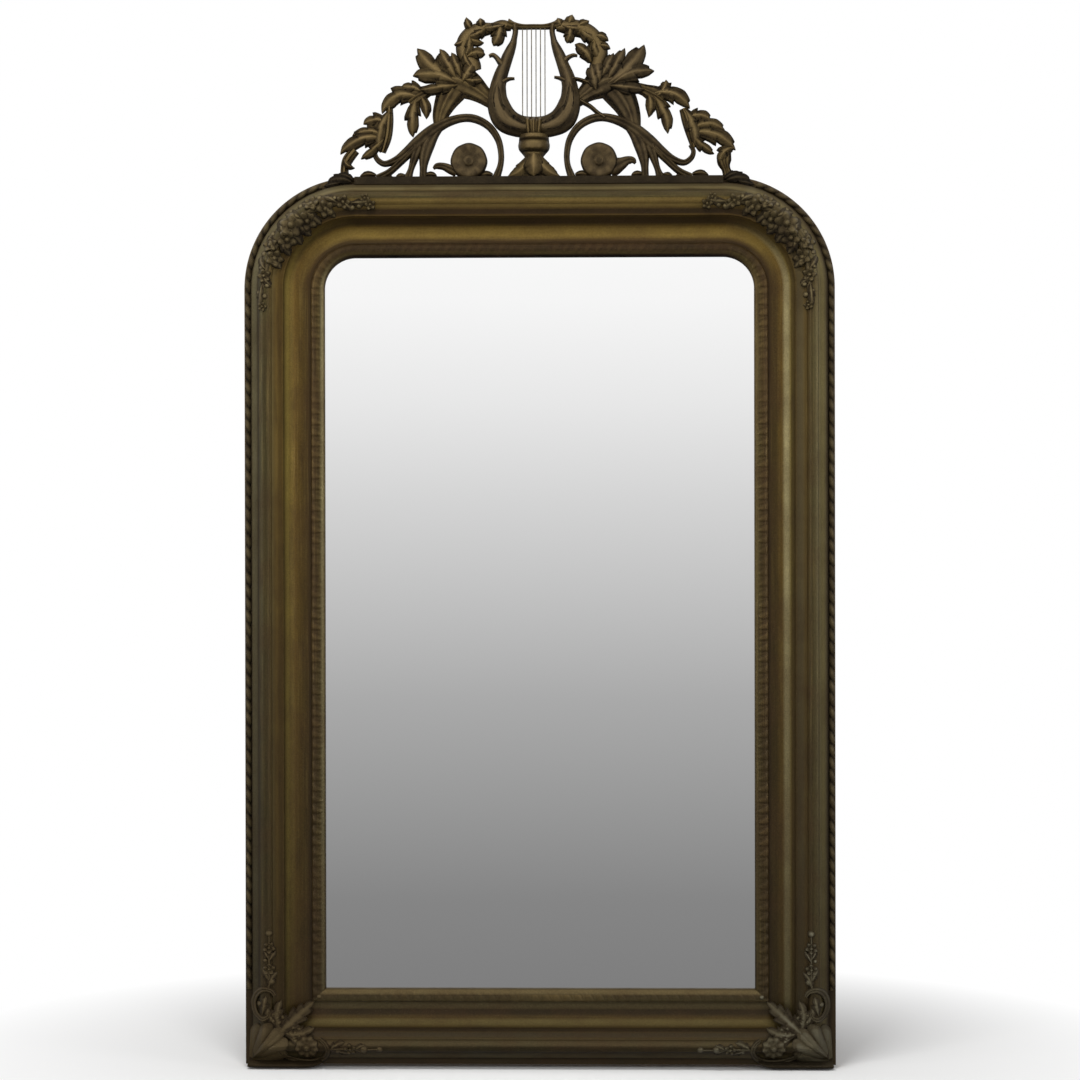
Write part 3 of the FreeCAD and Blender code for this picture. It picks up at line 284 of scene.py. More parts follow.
mouldingWidth = 128.0
giltTones = {
    # each member of the moulding: distance in mm from the outer edge, then its colour
    "members": {
        "outerLedge": (0, 76, 62, 41), "ledgeFoot": (12, 64, 53, 32), "chamferFoot": (15, 144, 130, 88),
        "chamferTop": (22, 116, 103, 68), "quirk": (24.5, 70, 60, 36), "torusOuter": (28, 69, 63, 41),
        "torusTop": (36, 60, 53, 29), "torusFoot": (43, 68, 56, 28), "fillet": (54, 114, 92, 44),
        "filletEdge": (62, 106, 82, 34), "coveLip": (71, 110, 92, 37), "coveMiddle": (80, 90, 69, 25),
        "coveFoot": (94, 74, 58, 25), "bandFoot": (104, 66, 50, 25), "bandMiddle": (114, 62, 48, 25),
        "sightLip": (122, 75, 64, 34), "sightEdge": (128, 92, 78, 44)},
    # painted shade that deepens towards the floor: heights in metres, share at the lowest, raggedness of its
    # edge, and its colour
    "shadeTowardsFloor": (0.2, 1.2, 0.7), "ragged": 0.3, "dirt": (44, 36, 22),
    # painted light and shade of one rail: middle and reach in mm from the outer edge, share, colour
    # the top rail has brighter gold, painted highlights on its torus and cove, and a darker fillet and sight
    # edge, painted shadow
    "topHighlightsAndShadows": (
        (14, 6, 0.7, 38, 30, 18), (29, 5, 0.5, 58, 46, 24), (43.5, 8, 0.9, 132, 110, 60),
        (57.5, 8, 0.92, 32, 22, 10), (71, 9, 0.9, 38, 26, 12), (89, 11, 0.75, 138, 114, 56),
        (112, 12, 0.75, 38, 28, 16), (127.5, 6, 1.0, 8, 5, 3)),
    # the bottom rail has a lighter lip and cove, painted highlights where they face up, and a dark line under
    # its leaf band, painted shade and dirt
    "bottomHighlightsAndShade": (
        (42, 7, 0.6, 76, 66, 42), (54, 6, 0.8, 62, 54, 39), (62, 4, 0.8, 42, 33, 19),
        (72, 7, 0.6, 96, 84, 50), (89, 8, 0.8, 36, 27, 14), (105, 13, 0.8, 88, 78, 53),
        (124.5, 7, 0.85, 98, 84, 54)),
    # the right side is paler and greyer on its raised members, painted highlights, and darker between them,
    # painted shade
    "rightHighlightsAndShade": (
        (13, 3, 0.6, 46, 34, 14), (22, 6, 0.9, 166, 150, 94), (33, 6, 0.5, 92, 82, 52),
        (57, 9, 0.7, 92, 84, 60), (68, 4, 0.6, 56, 50, 32), (77, 7, 0.85, 132, 122, 86),
        (96, 7, 0.6, 54, 43, 18)),
    # the left side has a grey chamfer and sharper lips, painted highlights, and darker bands between them,
    # painted shade
    "leftHighlightsAndShade": (
        (17.5, 6, 0.7, 132, 124, 90), (36, 5, 0.4, 62, 55, 32), (46.5, 4, 0.5, 114, 100, 60),
        (58.5, 5, 0.45, 70, 54, 20), (67.5, 5, 0.7, 124, 108, 52), (75, 5, 0.5, 92, 76, 31),
        (124.5, 4, 0.6, 124, 114, 80)),
    # share of the reach over which each painted tone is even
    "even": 0.4,
    "bole": (66, 46, 28), "boleAmount": 0.35, "patch": 14.0, "streaks": 0.4,
    # bump: strength, and distance in metres
    "metal": 0.5, "specular": 0.2, "bump": (0.25, 0.0008),
}
carvingTones = {
    # gold, bare bole, rubbed ridges that double as painted highlights, grime that doubles as painted shade
    # along the edges, and how close together the bare patches are
    "giltCarving": ((84, 70, 43), (42, 32, 21), (138, 117, 78), (5, 3, 2), 42.0),
    "giltBrown": ((73, 61, 41), (36, 28, 19), (120, 102, 70), (4, 3, 2), 46.0),
    "giltCorner": ((80, 69, 46), (48, 38, 25), (126, 113, 80), (18, 13, 8), 40.0),
    "giltWorn": ((70, 59, 39), (54, 42, 26), (90, 78, 54), (34, 26, 16), 26.0),
    "giltDusty": ((72, 65, 48), (50, 41, 28), (112, 108, 90), (34, 27, 18), 34.0),
    "giltDark": ((39, 32, 21), (27, 21, 14), (62, 53, 36), (15, 11, 6), 36.0),
}
carvingGloss = {"metal": 0.3, "specular": 0.1, "boleAmount": 0.8, "bump": (0.4, 0.0012)}


def addPaintedLight(tree, colour, across, mark, sign, rows):
    # Lays the painted tone of each row, highlight and shade alike, over its member, where the mark has this
    # sign.
    rail = times(tree, readMark(tree, mark), sign, clamp=True)
    for middle, reach, share, *tone in rows:
        gap = mathNode(tree, "ABSOLUTE", mathNode(tree, "SUBTRACT", across, middle))
        near = spread(tree, gap, giltTones["even"] * reach, reach, share, 0.0)
        colour = mixColour(tree, times(tree, near, rail), colour, rgb(*tone))
    return colour


def gild(tree, patina, tones, height):
    paint(tree, {"Base Color": patina.outputs["Color"], "Roughness": patina.outputs["Roughness"],
                 "Metallic": tones["metal"], "Specular IOR Level": tones["specular"]}, height, *tones["bump"])


def mouldingFinish():
    material, tree = newMaterial("giltMoulding")
    across = readMark(tree, "across")
    stops = [(place / mouldingWidth, rgb(*tone)) for place, *tone in giltTones["members"].values()]
    streaks = addNode(tree, "ShaderNodeGroup", {
        "Color": toneRamp(tree, spread(tree, across, 0.0, mouldingWidth), stops),
        "Across": across, "Along": readMark(tree, "along"), "Strength": giltTones["streaks"]},
        node_tree=rubbedStreaks)
    # painted highlights and shade on the right and the left side
    gold = addPaintedLight(tree, streaks.outputs["Color"], across, "side", 1.0, giltTones["rightHighlightsAndShade"])
    gold = addPaintedLight(tree, gold, across, "side", -1.0, giltTones["leftHighlightsAndShade"])
    # painted shade, darker towards the floor, with a ragged edge
    place = objectPlace(tree)
    rise = addNode(tree, "ShaderNodeSeparateXYZ", {0: place}).outputs["Z"]
    uneven = timesPlus(tree, noiseAt(tree, place, 9.0, 3.0, 0.5), giltTones["ragged"], rise)
    low, high, share = giltTones["shadeTowardsFloor"]
    gold = mixColour(tree, spread(tree, uneven, low, high, share, 0.0), gold, rgb(*giltTones["dirt"]))
    # painted highlights and shadows of the top rail, and painted highlights and shade of the bottom rail
    gold = addPaintedLight(tree, gold, across, "top", 1.0, giltTones["topHighlightsAndShadows"])
    gold = addPaintedLight(tree, gold, across, "top", -1.0, giltTones["bottomHighlightsAndShade"])
    patina = addNode(tree, "ShaderNodeGroup", {
        "Gold": gold, "Hollow": readMark(tree, "hollow"), "Bole": rgb(*giltTones["bole"]),
        "Bole Amount": giltTones["boleAmount"], "Patch Size": giltTones["patch"]}, node_tree=oldGilding)
    height = timesPlus(tree, streaks.outputs["Height"], 0.5, patina.outputs["Height"])
    gild(tree, patina, giltTones, height)
    return material


def carvingFinish(name, gold, bole, rubbed, grimeAndShade, patch):
    material, tree = newMaterial(name)
    patina = addNode(tree, "ShaderNodeGroup", {
        "Gold": rgb(*gold), "Bole": rgb(*bole), "Rubbed And Highlight": rgb(*rubbed), "Grime And Shade": rgb(*grimeAndShade),
        "Patch Size": patch, "Bole Amount": carvingGloss["boleAmount"], "Hollow": readMark(tree, "hollow")},
        node_tree=oldGilding)
    gild(tree, patina, carvingGloss, patina.outputs["Height"])
    return material


# Pine: rings stretched along the board, darker late wood, handling dirt

def buildGrain():
    group, source = openGroup("pineGrain", {
        "Vector": (0.0, 0.0, 0.0), "Pale": rgb(176, 138, 92), "Late": rgb(122, 84, 48)})
    place = source["Vector"]
    warp = addNode(group, "ShaderNodeTexNoise", {"Vector": place, "Scale": 5.0, "Detail": 2.0})
    bent = addNode(group, "ShaderNodeVectorMath", {0: warp.outputs["Color"], 1: (0.05, 0.05, 0.05), 2: place},
                   operation="MULTIPLY_ADD")
    rings = addNode(group, "ShaderNodeTexWave", {
        "Vector": bent.outputs[0], "Scale": 28.0, "Distortion": 5.0, "Detail": 2.0, "Detail Scale": 1.2},
        wave_type="BANDS", bands_direction="DIAGONAL")
    fibre = noiseAt(group, place, 160.0, 4.0, 0.6)
    dirt = noiseAt(group, objectPlace(group), 7.0, 4.0, 0.6)
    late = spread(group, rings.outputs["Fac"], 0.35, 0.95, 0.0, 0.85)
    toned = mixColour(group, late, source["Pale"], source["Late"])
    shaded = mixColour(group, 1.0, toned, spread(group, fibre, 0.3, 0.7, 0.75, 1.1), "MULTIPLY")
    soiled = mixColour(group, spread(group, dirt, 0.5, 0.75, 0.0, 0.6), shaded, rgb(64, 48, 32))
    return closeGroup(group, {"Color": soiled, "Roughness": spread(group, fibre, 0.3, 0.7, 0.62, 0.85),
                              "Height": mathNode(group, "ADD", fibre, late)})


pineGrain = buildGrain()


def pineFinish(name, stretch, pale, late):
    material, tree = newMaterial(name)
    place = addNode(tree, "ShaderNodeMapping", {"Vector": objectPlace(tree), "Scale": stretch}).outputs[0]
    links = {"Vector": place, "Pale": rgb(*pale), "Late": rgb(*late)}
    grain = addNode(tree, "ShaderNodeGroup", links, node_tree=pineGrain)
    paint(tree, {"Base Color": grain.outputs["Color"], "Roughness": grain.outputs["Roughness"]},
          grain.outputs["Height"], 0.3, 0.0006)
    return material


def ironFinish():
    material, tree = newMaterial("blackIron")
    patches = noiseAt(tree, objectPlace(tree), 180.0, 5.0, 0.65)
    rust = spread(tree, patches, 0.48, 0.66)
    paint(tree, {"Base Color": mixColour(tree, rust, rgb(58, 56, 54), rgb(92, 54, 34)),
                 "Roughness": spread(tree, rust, 0.0, 1.0, 0.38, 0.8),
                 "Metallic": spread(tree, rust, 0.0, 1.0, 0.9, 0.2)}, patches, 0.35, 0.0005)
    return material


def wireFinish():
    material, tree = newMaterial("dullBrassWire")
    tarnish = noiseAt(tree, objectPlace(tree), 90.0, 4.0, 0.6)
    dull = spread(tree, tarnish, 0.4, 0.65)
    paint(tree, {"Base Color": mixColour(tree, dull, rgb(128, 120, 100), rgb(70, 62, 48)),
                 "Roughness": spread(tree, tarnish, 0.3, 0.7, 0.3, 0.55), "Metallic": 0.9})
    return material


def glassFinish():
    # Silvering with a faint haze and a few foxed spots.
    material, tree = newMaterial("silveredGlass")
    place = objectPlace(tree)
    haze = noiseAt(tree, place, 3.0, 4.0, 0.6)
    foxed = spread(tree, noiseAt(tree, place, 60.0, 4.0, 0.7), 0.72, 0.8, 0.0, 0.12)
    paint(tree, {"Base Color": mixColour(tree, foxed, rgb(251, 251, 251), rgb(150, 140, 128)),
                 "Roughness": spread(tree, haze, 0.3, 0.7, 0.0, 0.012), "Metallic": 1.0})
    return material


finishes = {"giltMoulding": mouldingFinish()}
for name, tones in carvingTones.items():
    finishes[name] = carvingFinish(name, *tones)
finishes["pineUpright"] = pineFinish("pineUpright", (1.0, 1.0, 0.05), (122, 92, 60), (84, 58, 35))
finishes["pineAcross"] = pineFinish("pineAcross", (0.05, 1.0, 1.0), (140, 108, 71), (98, 68, 40))
finishes["blackIron"] = ironFinish()
finishes["dullBrassWire"] = wireFinish()
finishes["silveredGlass"] = glassFinish()

plainNodes = {
    "pineUpright": ("carcass_left_stile", "carcass_right_stile", "glazing_blocks", "crest_dowels",
                    "crest_back_block"),
    "pineAcross": ("carcass_bottom_rail", "carcass_top_rail", "backboard_1", "backboard_2", "backboard_3",
                   "backboard_4"),
    "blackIron": ("backboard_screws", "iron_screws", "hanger_strap_left", "hanger_strap_right",
                  "hanger_ring_left", "hanger_ring_right", "crest_brace"),
    "dullBrassWire": ("lyre_strings",), "silveredGlass": ("mirror_glass",), "giltDark": ("crest_base",),
}
for finish, names in plainNodes.items():
    for name in names:
        for slot in nodes[name].material_slots:
            slot.link = "OBJECT"
            slot.material = finishes[finish]
print("materials ready")


# Moulded runs

def arcPoints(start, end, rise, count):
    # Circular arc over a chord; a negative rise makes it hollow.
    start, end = np.array(start, float), np.array(end, float)
    chord = end - start
    half = np.linalg.norm(chord) / 2
    along = chord / (2 * half)
    normal = np.array([-along[1], along[0]])
    radius = (half ** 2 + rise ** 2) / (2 * abs(rise))
    reach = math.asin(min(half / radius, 1.0))
    turn = np.linspace(-reach, reach, count)[:, None]
    sign = math.copysign(1.0, rise)
    centre = (start + end) / 2 + normal * (rise - sign * radius)
    return centre + radius * (along * np.sin(turn) + sign * normal * np.cos(turn))


mouldingRun = {
    "halfWidth": 472.5, "height": 1421.0, "corner": 178.0, "bottom": 120.0,
    # section, from the outer edge: distance in and height; an arc also has its rise and number of points
    "ledge": ((0, 24), (0, 36), (12, 36), (12, 44), (24, 56)), "torus": ((24, 56), (46, 56), 10.0, 19),
    "fillet": ((51, 54), (64, 54), (64, 50)), "cove": ((64, 50), (106, 30), -8.0, 19),
    "seat": ((126, 30), (126, 24)), "steps": 9, "cornerSteps": 49, "crease": 35,
    # dirt in the quirks of the section: distance in and half width; its share; less at top and bottom
    "quirks": ((12.0, 2.0), (24.5, 1.6), (48.5, 3.0), (64.5, 2.2), (105.0, 3.0)),
    "quirkDirt": 0.6, "cleaner": 0.5,
}
halfWidth = mouldingRun["halfWidth"]
frameTop = mouldingRun["height"]
cornerRadius = mouldingRun["corner"]
springLine = frameTop - cornerRadius
flatHalf = halfWidth - cornerRadius
quarterTurn = cornerRadius * math.pi / 2
mitreSlope = mouldingRun["bottom"] / mouldingWidth

mouldingSection = np.concatenate([
    np.array(mouldingRun["ledge"], float), arcPoints(*mouldingRun["torus"])[1:],
    np.array(mouldingRun["fillet"], float), arcPoints(*mouldingRun["cove"])[1:],
    np.array(mouldingRun["seat"], float)])

# length of each run, and where it starts in the noise of the streaks
runLength = {"left": springLine, "right": springLine, "corner_left": quarterTurn, "corner_right": quarterTurn,
             "top": 2 * flatHalf, "bottom": 2 * halfWidth}
runOrigin = {"left": 0.0, "right": 3000.0, "corner_left": springLine, "corner_right": 3000.0 + springLine,
             "top": 6000.0, "bottom": 8000.0}


def runPlace(kind, part, across, height):
    # Where a point of a run is: part goes from 0 to 1 along it, across from the outer edge.
    side = -1.0 if "left" in kind else 1.0
    low = across * mitreSlope
    if kind in ("left", "right"):
        return gridOf(side * (halfWidth - across), height, low + (springLine - low) * part)
    if "corner" in kind:
        turn = part * math.pi / 2
        reach = cornerRadius - across
        return gridOf(side * (flatHalf + reach * np.cos(turn)), height, springLine + reach * np.sin(turn))
    if kind == "top":
        return gridOf(flatHalf * (2 * part - 1), height, frameTop - across)
    return gridOf((halfWidth - across) * (2 * part - 1), height, low)


def railMarks(kind, part):
    # Top is one on the top rail and minus one on the bottom rail; side is one on the right and minus one on
    # the left. Both change evenly round the corners, and are nothing elsewhere.
    sign = 1.0 if "right" in kind else -1.0 if "left" in kind else 0.0
    if "corner" in kind:
        return {"top": part, "side": sign * (1.0 - part)}
    top = {"top": 1.0, "bottom": -1.0}.get(kind, 0.0)
    return {"top": np.full_like(part, top), "side": np.full_like(part, sign)}


quirks = np.array(mouldingRun["quirks"])
for kind, length in runLength.items():
    part = np.linspace(0.0, 1.0, mouldingRun["cornerSteps" if "corner" in kind else "steps"])[:, None]
    across, height = mouldingSection[None, :, 0], mouldingSection[None, :, 1]
    marks = railMarks(kind, part)
    # a bell curve over each quirk
    dirt = unit(bell(across[..., None], quirks[:, 0], quirks[:, 1]).sum(-1) * mouldingRun["quirkDirt"])
    marks.update(across=across, along=runOrigin[kind] + length * part,
                 hollow=dirt * (1.0 - mouldingRun["cleaner"] * np.abs(marks["top"])))
    shell = ringShell(runPlace(kind, part, across, height), marks)
    makePiece("moulding_" + kind, [shell], "giltMoulding", mouldingRun["crease"])
print("mouldings ready")

leafBand = {
    "pitch": 17.3, "perLeaf": 10, "rise": 1.3, "outer": 106.0, "inner": 126.0, "middle": 116.0, "crease": 60,
    # section: an arc in front, sunk a little under the leaves, and the back; the relief dies away at the rim
    "front": ((106, 34), (126, 33), 4.0, 15), "sunk": 1.6,
    "back": ((128, 30), (128, 24), (126, 24), (126, 30), (106, 30)), "rim": (127.0, 12.0),
    "reach": 0.82, "slant": 0.35, "dirt": 0.26, "rubAndHighlight": 0.08, "backDirt": 0.5,
    # fainter at the top and bottom, and on the sides from this height down over this distance
    "fainter": 0.65, "faintFrom": (450.0, 400.0),
    # a wiped patch on the bottom length: middle and half width, share, and how far in it ends
    "wiped": (32.0, 70.0, 0.3, 118.0),
}


def bandRelief(along, across):
    # Row of pointed leaves that lean along the run, a dart between each pair, and a bead at the edge.
    depth = unit((across - leafBand["outer"]) / (leafBand["inner"] - leafBand["outer"]))
    place = (along / leafBand["pitch"] + leafBand["slant"] * depth) % 1.0 - 0.5
    part = unit(depth / leafBand["reach"])
    wide = 0.42 * unit(1.0 - part ** 1.8) ** 0.7 + 1e-3
    inside = unit(1.0 - (np.abs(place) / wide) ** 2)
    dart = unit(1.0 - ((0.5 - np.abs(place)) / (0.04 + 0.1 * part)) ** 2) * np.sin(part * math.pi)
    bead = bell(depth, 0.95, 0.07)
    worn = 0.7 + 0.3 * np.sin(along * 0.031 + 1.3) * np.sin(along * 0.0087)
    plain = unit((depth - leafBand["reach"]) / 0.1)
    relief = (np.sqrt(inside) + 0.5 * np.sqrt(unit(dart))) * worn + 0.5 * bead
    dark = unit(1.0 - 1.4 * inside - dart) * (1.0 - 0.75 * plain) * (1.0 - bead)
    return relief, unit(dark * worn)


bandFront = arcPoints(*leafBand["front"])
bandBack = np.array(leafBand["back"], float)
for kind, length in runLength.items():
    across = np.concatenate([bandFront[:, 0], bandBack[:, 0]])[None, :]
    base = np.concatenate([bandFront[:, 1] - leafBand["sunk"], bandBack[:, 1]])[None, :]
    front = np.arange(across.shape[1])[None, :] < len(bandFront)
    curved = "corner" in kind
    turn = (cornerRadius - leafBand["middle"]) * math.pi / 2
    leaves = round((turn if curved else length) / leafBand["pitch"])
    part = np.linspace(0.0, 1.0, leaves * leafBand["perLeaf"] + 1)[:, None]
    place = runPlace(kind, part, across, across * 0.0)
    axis = 2 if kind in ("left", "right") else 0
    along = part * leaves * leafBand["pitch"] if curved else place[..., axis] + springLine
    relief, dark = bandRelief(along, across)
    rimEnd, rimSlope = leafBand["rim"]
    rim = unit((across - leafBand["outer"]) * (rimEnd - across) / rimSlope)
    height = base + np.where(front, relief * rim * leafBand["rise"], 0.0)
    marks = railMarks(kind, part)
    faintFrom, faintOver = leafBand["faintFrom"]
    faint = np.maximum(np.abs(marks["top"]), unit((faintFrom - place[..., 2]) / faintOver))
    # grime between the leaves, and rubbed tone with a painted highlight on their raised parts
    shade = (dark * leafBand["dirt"] - leafBand["rubAndHighlight"] * relief * rim) * (1.0 - leafBand["fainter"] * faint)
    if kind == "bottom":
        middle, reach, share, end = leafBand["wiped"]
        shade = shade - share * np.exp(-((place[..., 0] - middle) / reach) ** 4) * rim * (across < end)
    marks.update(across=across, along=runOrigin[kind] + along,
                 hollow=np.where(front, shade, leafBand["backDirt"]))
    shell = ringShell(runPlace(kind, part, across, height), marks)
    makePiece("sight_band_" + kind, [shell], "giltMoulding", leafBand["crease"])
print("leaf band ready")

ropeEdge = {
    "pitch": 20.5, "perStrand": 14, "round": 13, "width": 10.0, "rise": 7.0, "middle": 6.0, "ledge": 36.0,
    "lay": 0.5, "roundness": 0.75, "groove": 0.42, "dirt": (1.1, 0.1), "crease": 80,
    # degrees that it takes up of a corner, and where it starts on a side
    "sweep": 72.0, "start": 120.0,
}
for kind in ("left", "right", "corner_left", "corner_right"):
    # Half round with slanted strands: each strand bulges as a power of a half sine between two grooves.
    curved = "corner" in kind
    side = -1.0 if "left" in kind else 1.0
    length = cornerRadius * math.radians(ropeEdge["sweep"]) if curved else springLine - ropeEdge["start"]
    strands = round(length / ropeEdge["pitch"])
    part = np.linspace(0.0, 1.0, strands * ropeEdge["perStrand"] + 1)[:, None]
    turn = np.linspace(0.0, math.pi, ropeEdge["round"])[None, :]
    strand = part * strands - ropeEdge["lay"] * turn * side / math.pi
    bulge = np.abs(np.sin(math.pi * strand)) ** ropeEdge["roundness"]
    skin = 1.0 - ropeEdge["groove"] * (1.0 - bulge)
    across = ropeEdge["middle"] - np.cos(turn) * ropeEdge["width"] / 2 * skin
    height = ropeEdge["ledge"] + np.sin(turn) * ropeEdge["rise"] * skin
    if curved:
        grid = runPlace(kind, part * ropeEdge["sweep"] / 90.0, across, height)
    else:
        grid = gridOf(side * (halfWidth - across), height, ropeEdge["start"] + length * part)
    dirt, least = ropeEdge["dirt"]
    shell = ringShell(grid, {"hollow": unit((1.0 - bulge) * dirt + least)})
    makePiece("rope_edge_" + kind, [shell], "giltCorner", ropeEdge["crease"])
print("rope edge ready")


# Carving helpers

crestAxis = -8.0
crestBack = 14.0
carveCut = {"front": 17, "rear": (1.0, 0.5, 0.0, -0.5, -1.0), "rearShade": 0.15, "thinnest": 0.6}


def moved(stations, across, up):
    return [(x + across, z + up, width) for x, z, width in stations]


def flipped(stations):
    return [(-across, up, width) for across, up, width in stations]


def bothSides(half, middle):
    return flipped(half) + [middle] + half[::-1]


def groundAt(ground, across, up):
    return ground(across, up) if callable(ground) else ground


def alongPath(stations, count):
    # Catmull-Rom curve through the stations: places, widths, and the unit direction at each step.
    knots = np.array(stations, float)
    padded = np.concatenate([2 * knots[:1] - knots[1:2], knots, 2 * knots[-1:] - knots[-2:-1]])
    step = np.linspace(0.0, len(knots) - 1.0, count)
    first = np.minimum(step.astype(int), len(knots) - 2)
    part = (step - first)[:, None]
    a, b, c, d = padded[first], padded[first + 1], padded[first + 2], padded[first + 3]
    bend, twist = 2 * a - 5 * b + 4 * c - d, 3 * b - a - 3 * c + d
    value = 0.5 * (2 * b + (c - a) * part + bend * part ** 2 + twist * part ** 3)
    slope = 0.5 * ((c - a) + 2 * bend * part + 3 * twist * part ** 2)
    heading = slope[:, :2] / np.maximum(np.linalg.norm(slope[:, :2], axis=1, keepdims=True), 1e-6)
    return value[:, :2], np.maximum(value[:, 2], carveCut["thinnest"]), heading


def carve(centre, heading, half, tall, cut, ground, edge, rubAndHighlight, slant=0.0, curl=0.0):
    # Ring at each step: a carved front from edge to edge over a flat back; its highest fifth is rubbed, a
    # painted highlight as well as wear, and its dark marks hold grime and painted shade.
    # Slant carries the outer points forward, as the side veins of a leaf run; curl lifts the far end.
    front, dark = cut
    lean = np.sin(np.linspace(-math.pi / 2, math.pi / 2, carveCut["front"]))
    rear = np.array(carveCut["rear"])
    behind = np.ones((len(centre), len(rear)))
    along = np.linspace(0.0, 1.0, len(centre))[:, None]
    shape = front(along, lean[None, :])
    shade = unit(dark(along, lean[None, :])) * np.ones_like(along)
    shade = shade - rubAndHighlight * unit((shape - 0.8) / 0.2) * (1.0 - shade)
    shade = np.concatenate([shade, behind * carveCut["rearShade"]], axis=1)
    out = tall[:, None] * (edge + (1.0 - edge) * shape)
    out = np.concatenate([out, behind * 0.0], axis=1) + curl * along ** 2
    sides = np.concatenate([lean, rear])[None, :]
    across = half(along, sides) if callable(half) else half[:, None]
    normal = np.stack([-heading[:, 1], heading[:, 0]], axis=1)
    flat = (centre[:, None, :] + normal[:, None, :] * (sides * across)[..., None]
            + heading[:, None, :] * (np.abs(sides) * across * slant)[..., None])
    x, z = flat[..., 0], flat[..., 1]
    return ringShell(gridOf(x, groundAt(ground, x, z) + out, z), {"hollow": shade})


# Fronts and their dark parts, by the part along and the side from -1 to 1; darkening towards both edges is
# painted shade, dark grooves and valleys are grime

def roundFront(along, side):
    return np.sqrt(unit(1.0 - side ** 2))


# painted shade towards both edges
def roundEdgeShade(along, side):
    return np.abs(side) ** 2.5


def reedFront(along, side):
    # Half oval with two grooves that leave three reeds.
    return roundFront(along, side) * (1.0 - 0.3 * bell(np.abs(side), 0.42, 0.12))


def reedDark(along, side):
    return 0.75 * bell(np.abs(side), 0.42, 0.13) + np.abs(side) ** 3


def channelFront(along, side):
    # Half oval with one hollow down the middle.
    return roundFront(along, side) - 0.3 * bell(side, 0.0, 0.3)


def channelDark(along, side):
    return 0.65 * bell(side, 0.0, 0.24) + np.abs(side) ** 3


def fanFront(along, side):
    # Leaf body with ridges, a cosine of the side.
    ridge = 0.5 + 0.5 * np.cos(side * math.pi * 4)
    return np.sqrt(unit(1.0 - 0.75 * side ** 2)) * (0.76 + 0.24 * ridge)


def fanDark(along, side):
    valley = (0.5 - 0.5 * np.cos(side * math.pi * 4)) ** 2
    return 0.85 * valley * np.clip(along * 2.5, 0.3, 1.0) + np.abs(side) ** 3


# Evenly dark all over; on the cartouche foot it is painted shade along the bottom edge.
def evenDark(along, side):
    return 0.85 * np.ones_like(along * side)


roundCut = (roundFront, roundEdgeShade)
reedCut = (reedFront, reedDark)
channelCut = (channelFront, channelDark)
fanCut = (fanFront, fanDark)
plainCut = (roundFront, evenDark)


def stem(stations, depth, fullness, cut, ground=crestBack, count=48, edge=0.2, rubAndHighlight=0.3):
    # Carved band along a path; fullness is how much of its depth a narrow part keeps.
    centre, width, heading = alongPath(stations, count)
    widest = max(station[2] for station in stations)
    tall = depth * (fullness + (1.0 - fullness) * unit(width / widest))
    return carve(centre, heading, width / 2, tall, cut, ground, edge, rubAndHighlight)


leafCut = {
    # width along the leaf: part and share
    "shares": ((0.0, 0.5), (0.2, 0.86), (0.4, 1.0), (0.62, 0.86), (0.84, 0.46), (1.0, 0.03)),
    "steps": 40, "slant": 0.45, "vein": 0.1, "edge": 0.3, "rubAndHighlight": 0.7,
}


def leaf(entry, depth, teeth, notch, curl=4.0, ground=crestBack, lift=0.0, slant=leafCut["slant"], soil=1.0):
    # Pointed leaf on a bowed midrib; saw teeth in its edge, one raised vein to each tooth.
    # The entry has the base, the tip, the width and the bend.
    baseX, baseZ, tipX, tipZ, width, bend = entry
    base = np.array([baseX, baseZ], float)
    run = np.array([tipX, tipZ], float) - base
    part = np.linspace(0.0, 1.0, leafCut["steps"])[:, None]
    aside = np.array([-run[1], run[0]])
    centre = base + run * part + aside * bend * 4 * part * (1 - part)
    heading = run + aside * bend * 4 * (1 - 2 * part)
    heading = heading / np.linalg.norm(heading, axis=1, keepdims=True)
    shares = np.array(leafCut["shares"])

    def tooth(along, side):
        return (along * teeth + 0.3 * (side > 0)) % 1.0

    def half(along, side):
        share = np.interp(along, shares[:, 0], shares[:, 1])
        return width / 2 * share * (1.0 - notch * (1.0 - tooth(along, side)) ** 1.4)

    def front(along, side):
        ridge = 0.5 + 0.5 * np.cos(side * 2 * math.pi)
        vein = np.sin(math.pi * tooth(along, side)) * unit(np.abs(side) * 2.0 - 0.4)
        crown = np.sqrt(unit(1.0 - 0.85 * side ** 2))
        return crown * (0.74 + 0.24 * ridge * unit(1.4 - along) + leafCut["vein"] * vein)

    # painted shade towards both edges; grime in the gaps between the teeth, at the base and in the valleys
    def dark(along, side):
        valley = (0.5 - 0.5 * np.cos(side * 2 * math.pi)) ** 4
        gap = (1.0 - np.sin(math.pi * tooth(along, side))) ** 3
        deep = 0.8 * gap * unit(np.abs(side) * 1.6 - 0.4) + 0.8 * unit(0.3 - along)
        return np.abs(side) ** 2 + soil * (deep + 0.95 * valley * unit(1.1 - along))

    tall = depth * (0.45 + 0.55 * np.interp(part[:, 0], shares[:, 0], shares[:, 1])) + lift
    return carve(centre, heading, half, tall, (front, dark), ground, leafCut["edge"], leafCut["rubAndHighlight"],
                 slant, curl)


def movedLeaf(entry, across, up, **options):
    baseX, baseZ, tipX, tipZ, width, bend = entry
    return leaf((baseX + across, baseZ + up, tipX + across, tipZ + up, width, bend), **options)


def crestLeaf(entry, **options):
    return movedLeaf(entry, crestAxis, frameTop, **options)


def crestStem(line, **settings):
    return stem(moved(line, crestAxis, frameTop), **settings)


# Lyre: stations are across, up and width from the crest axis and the top edge

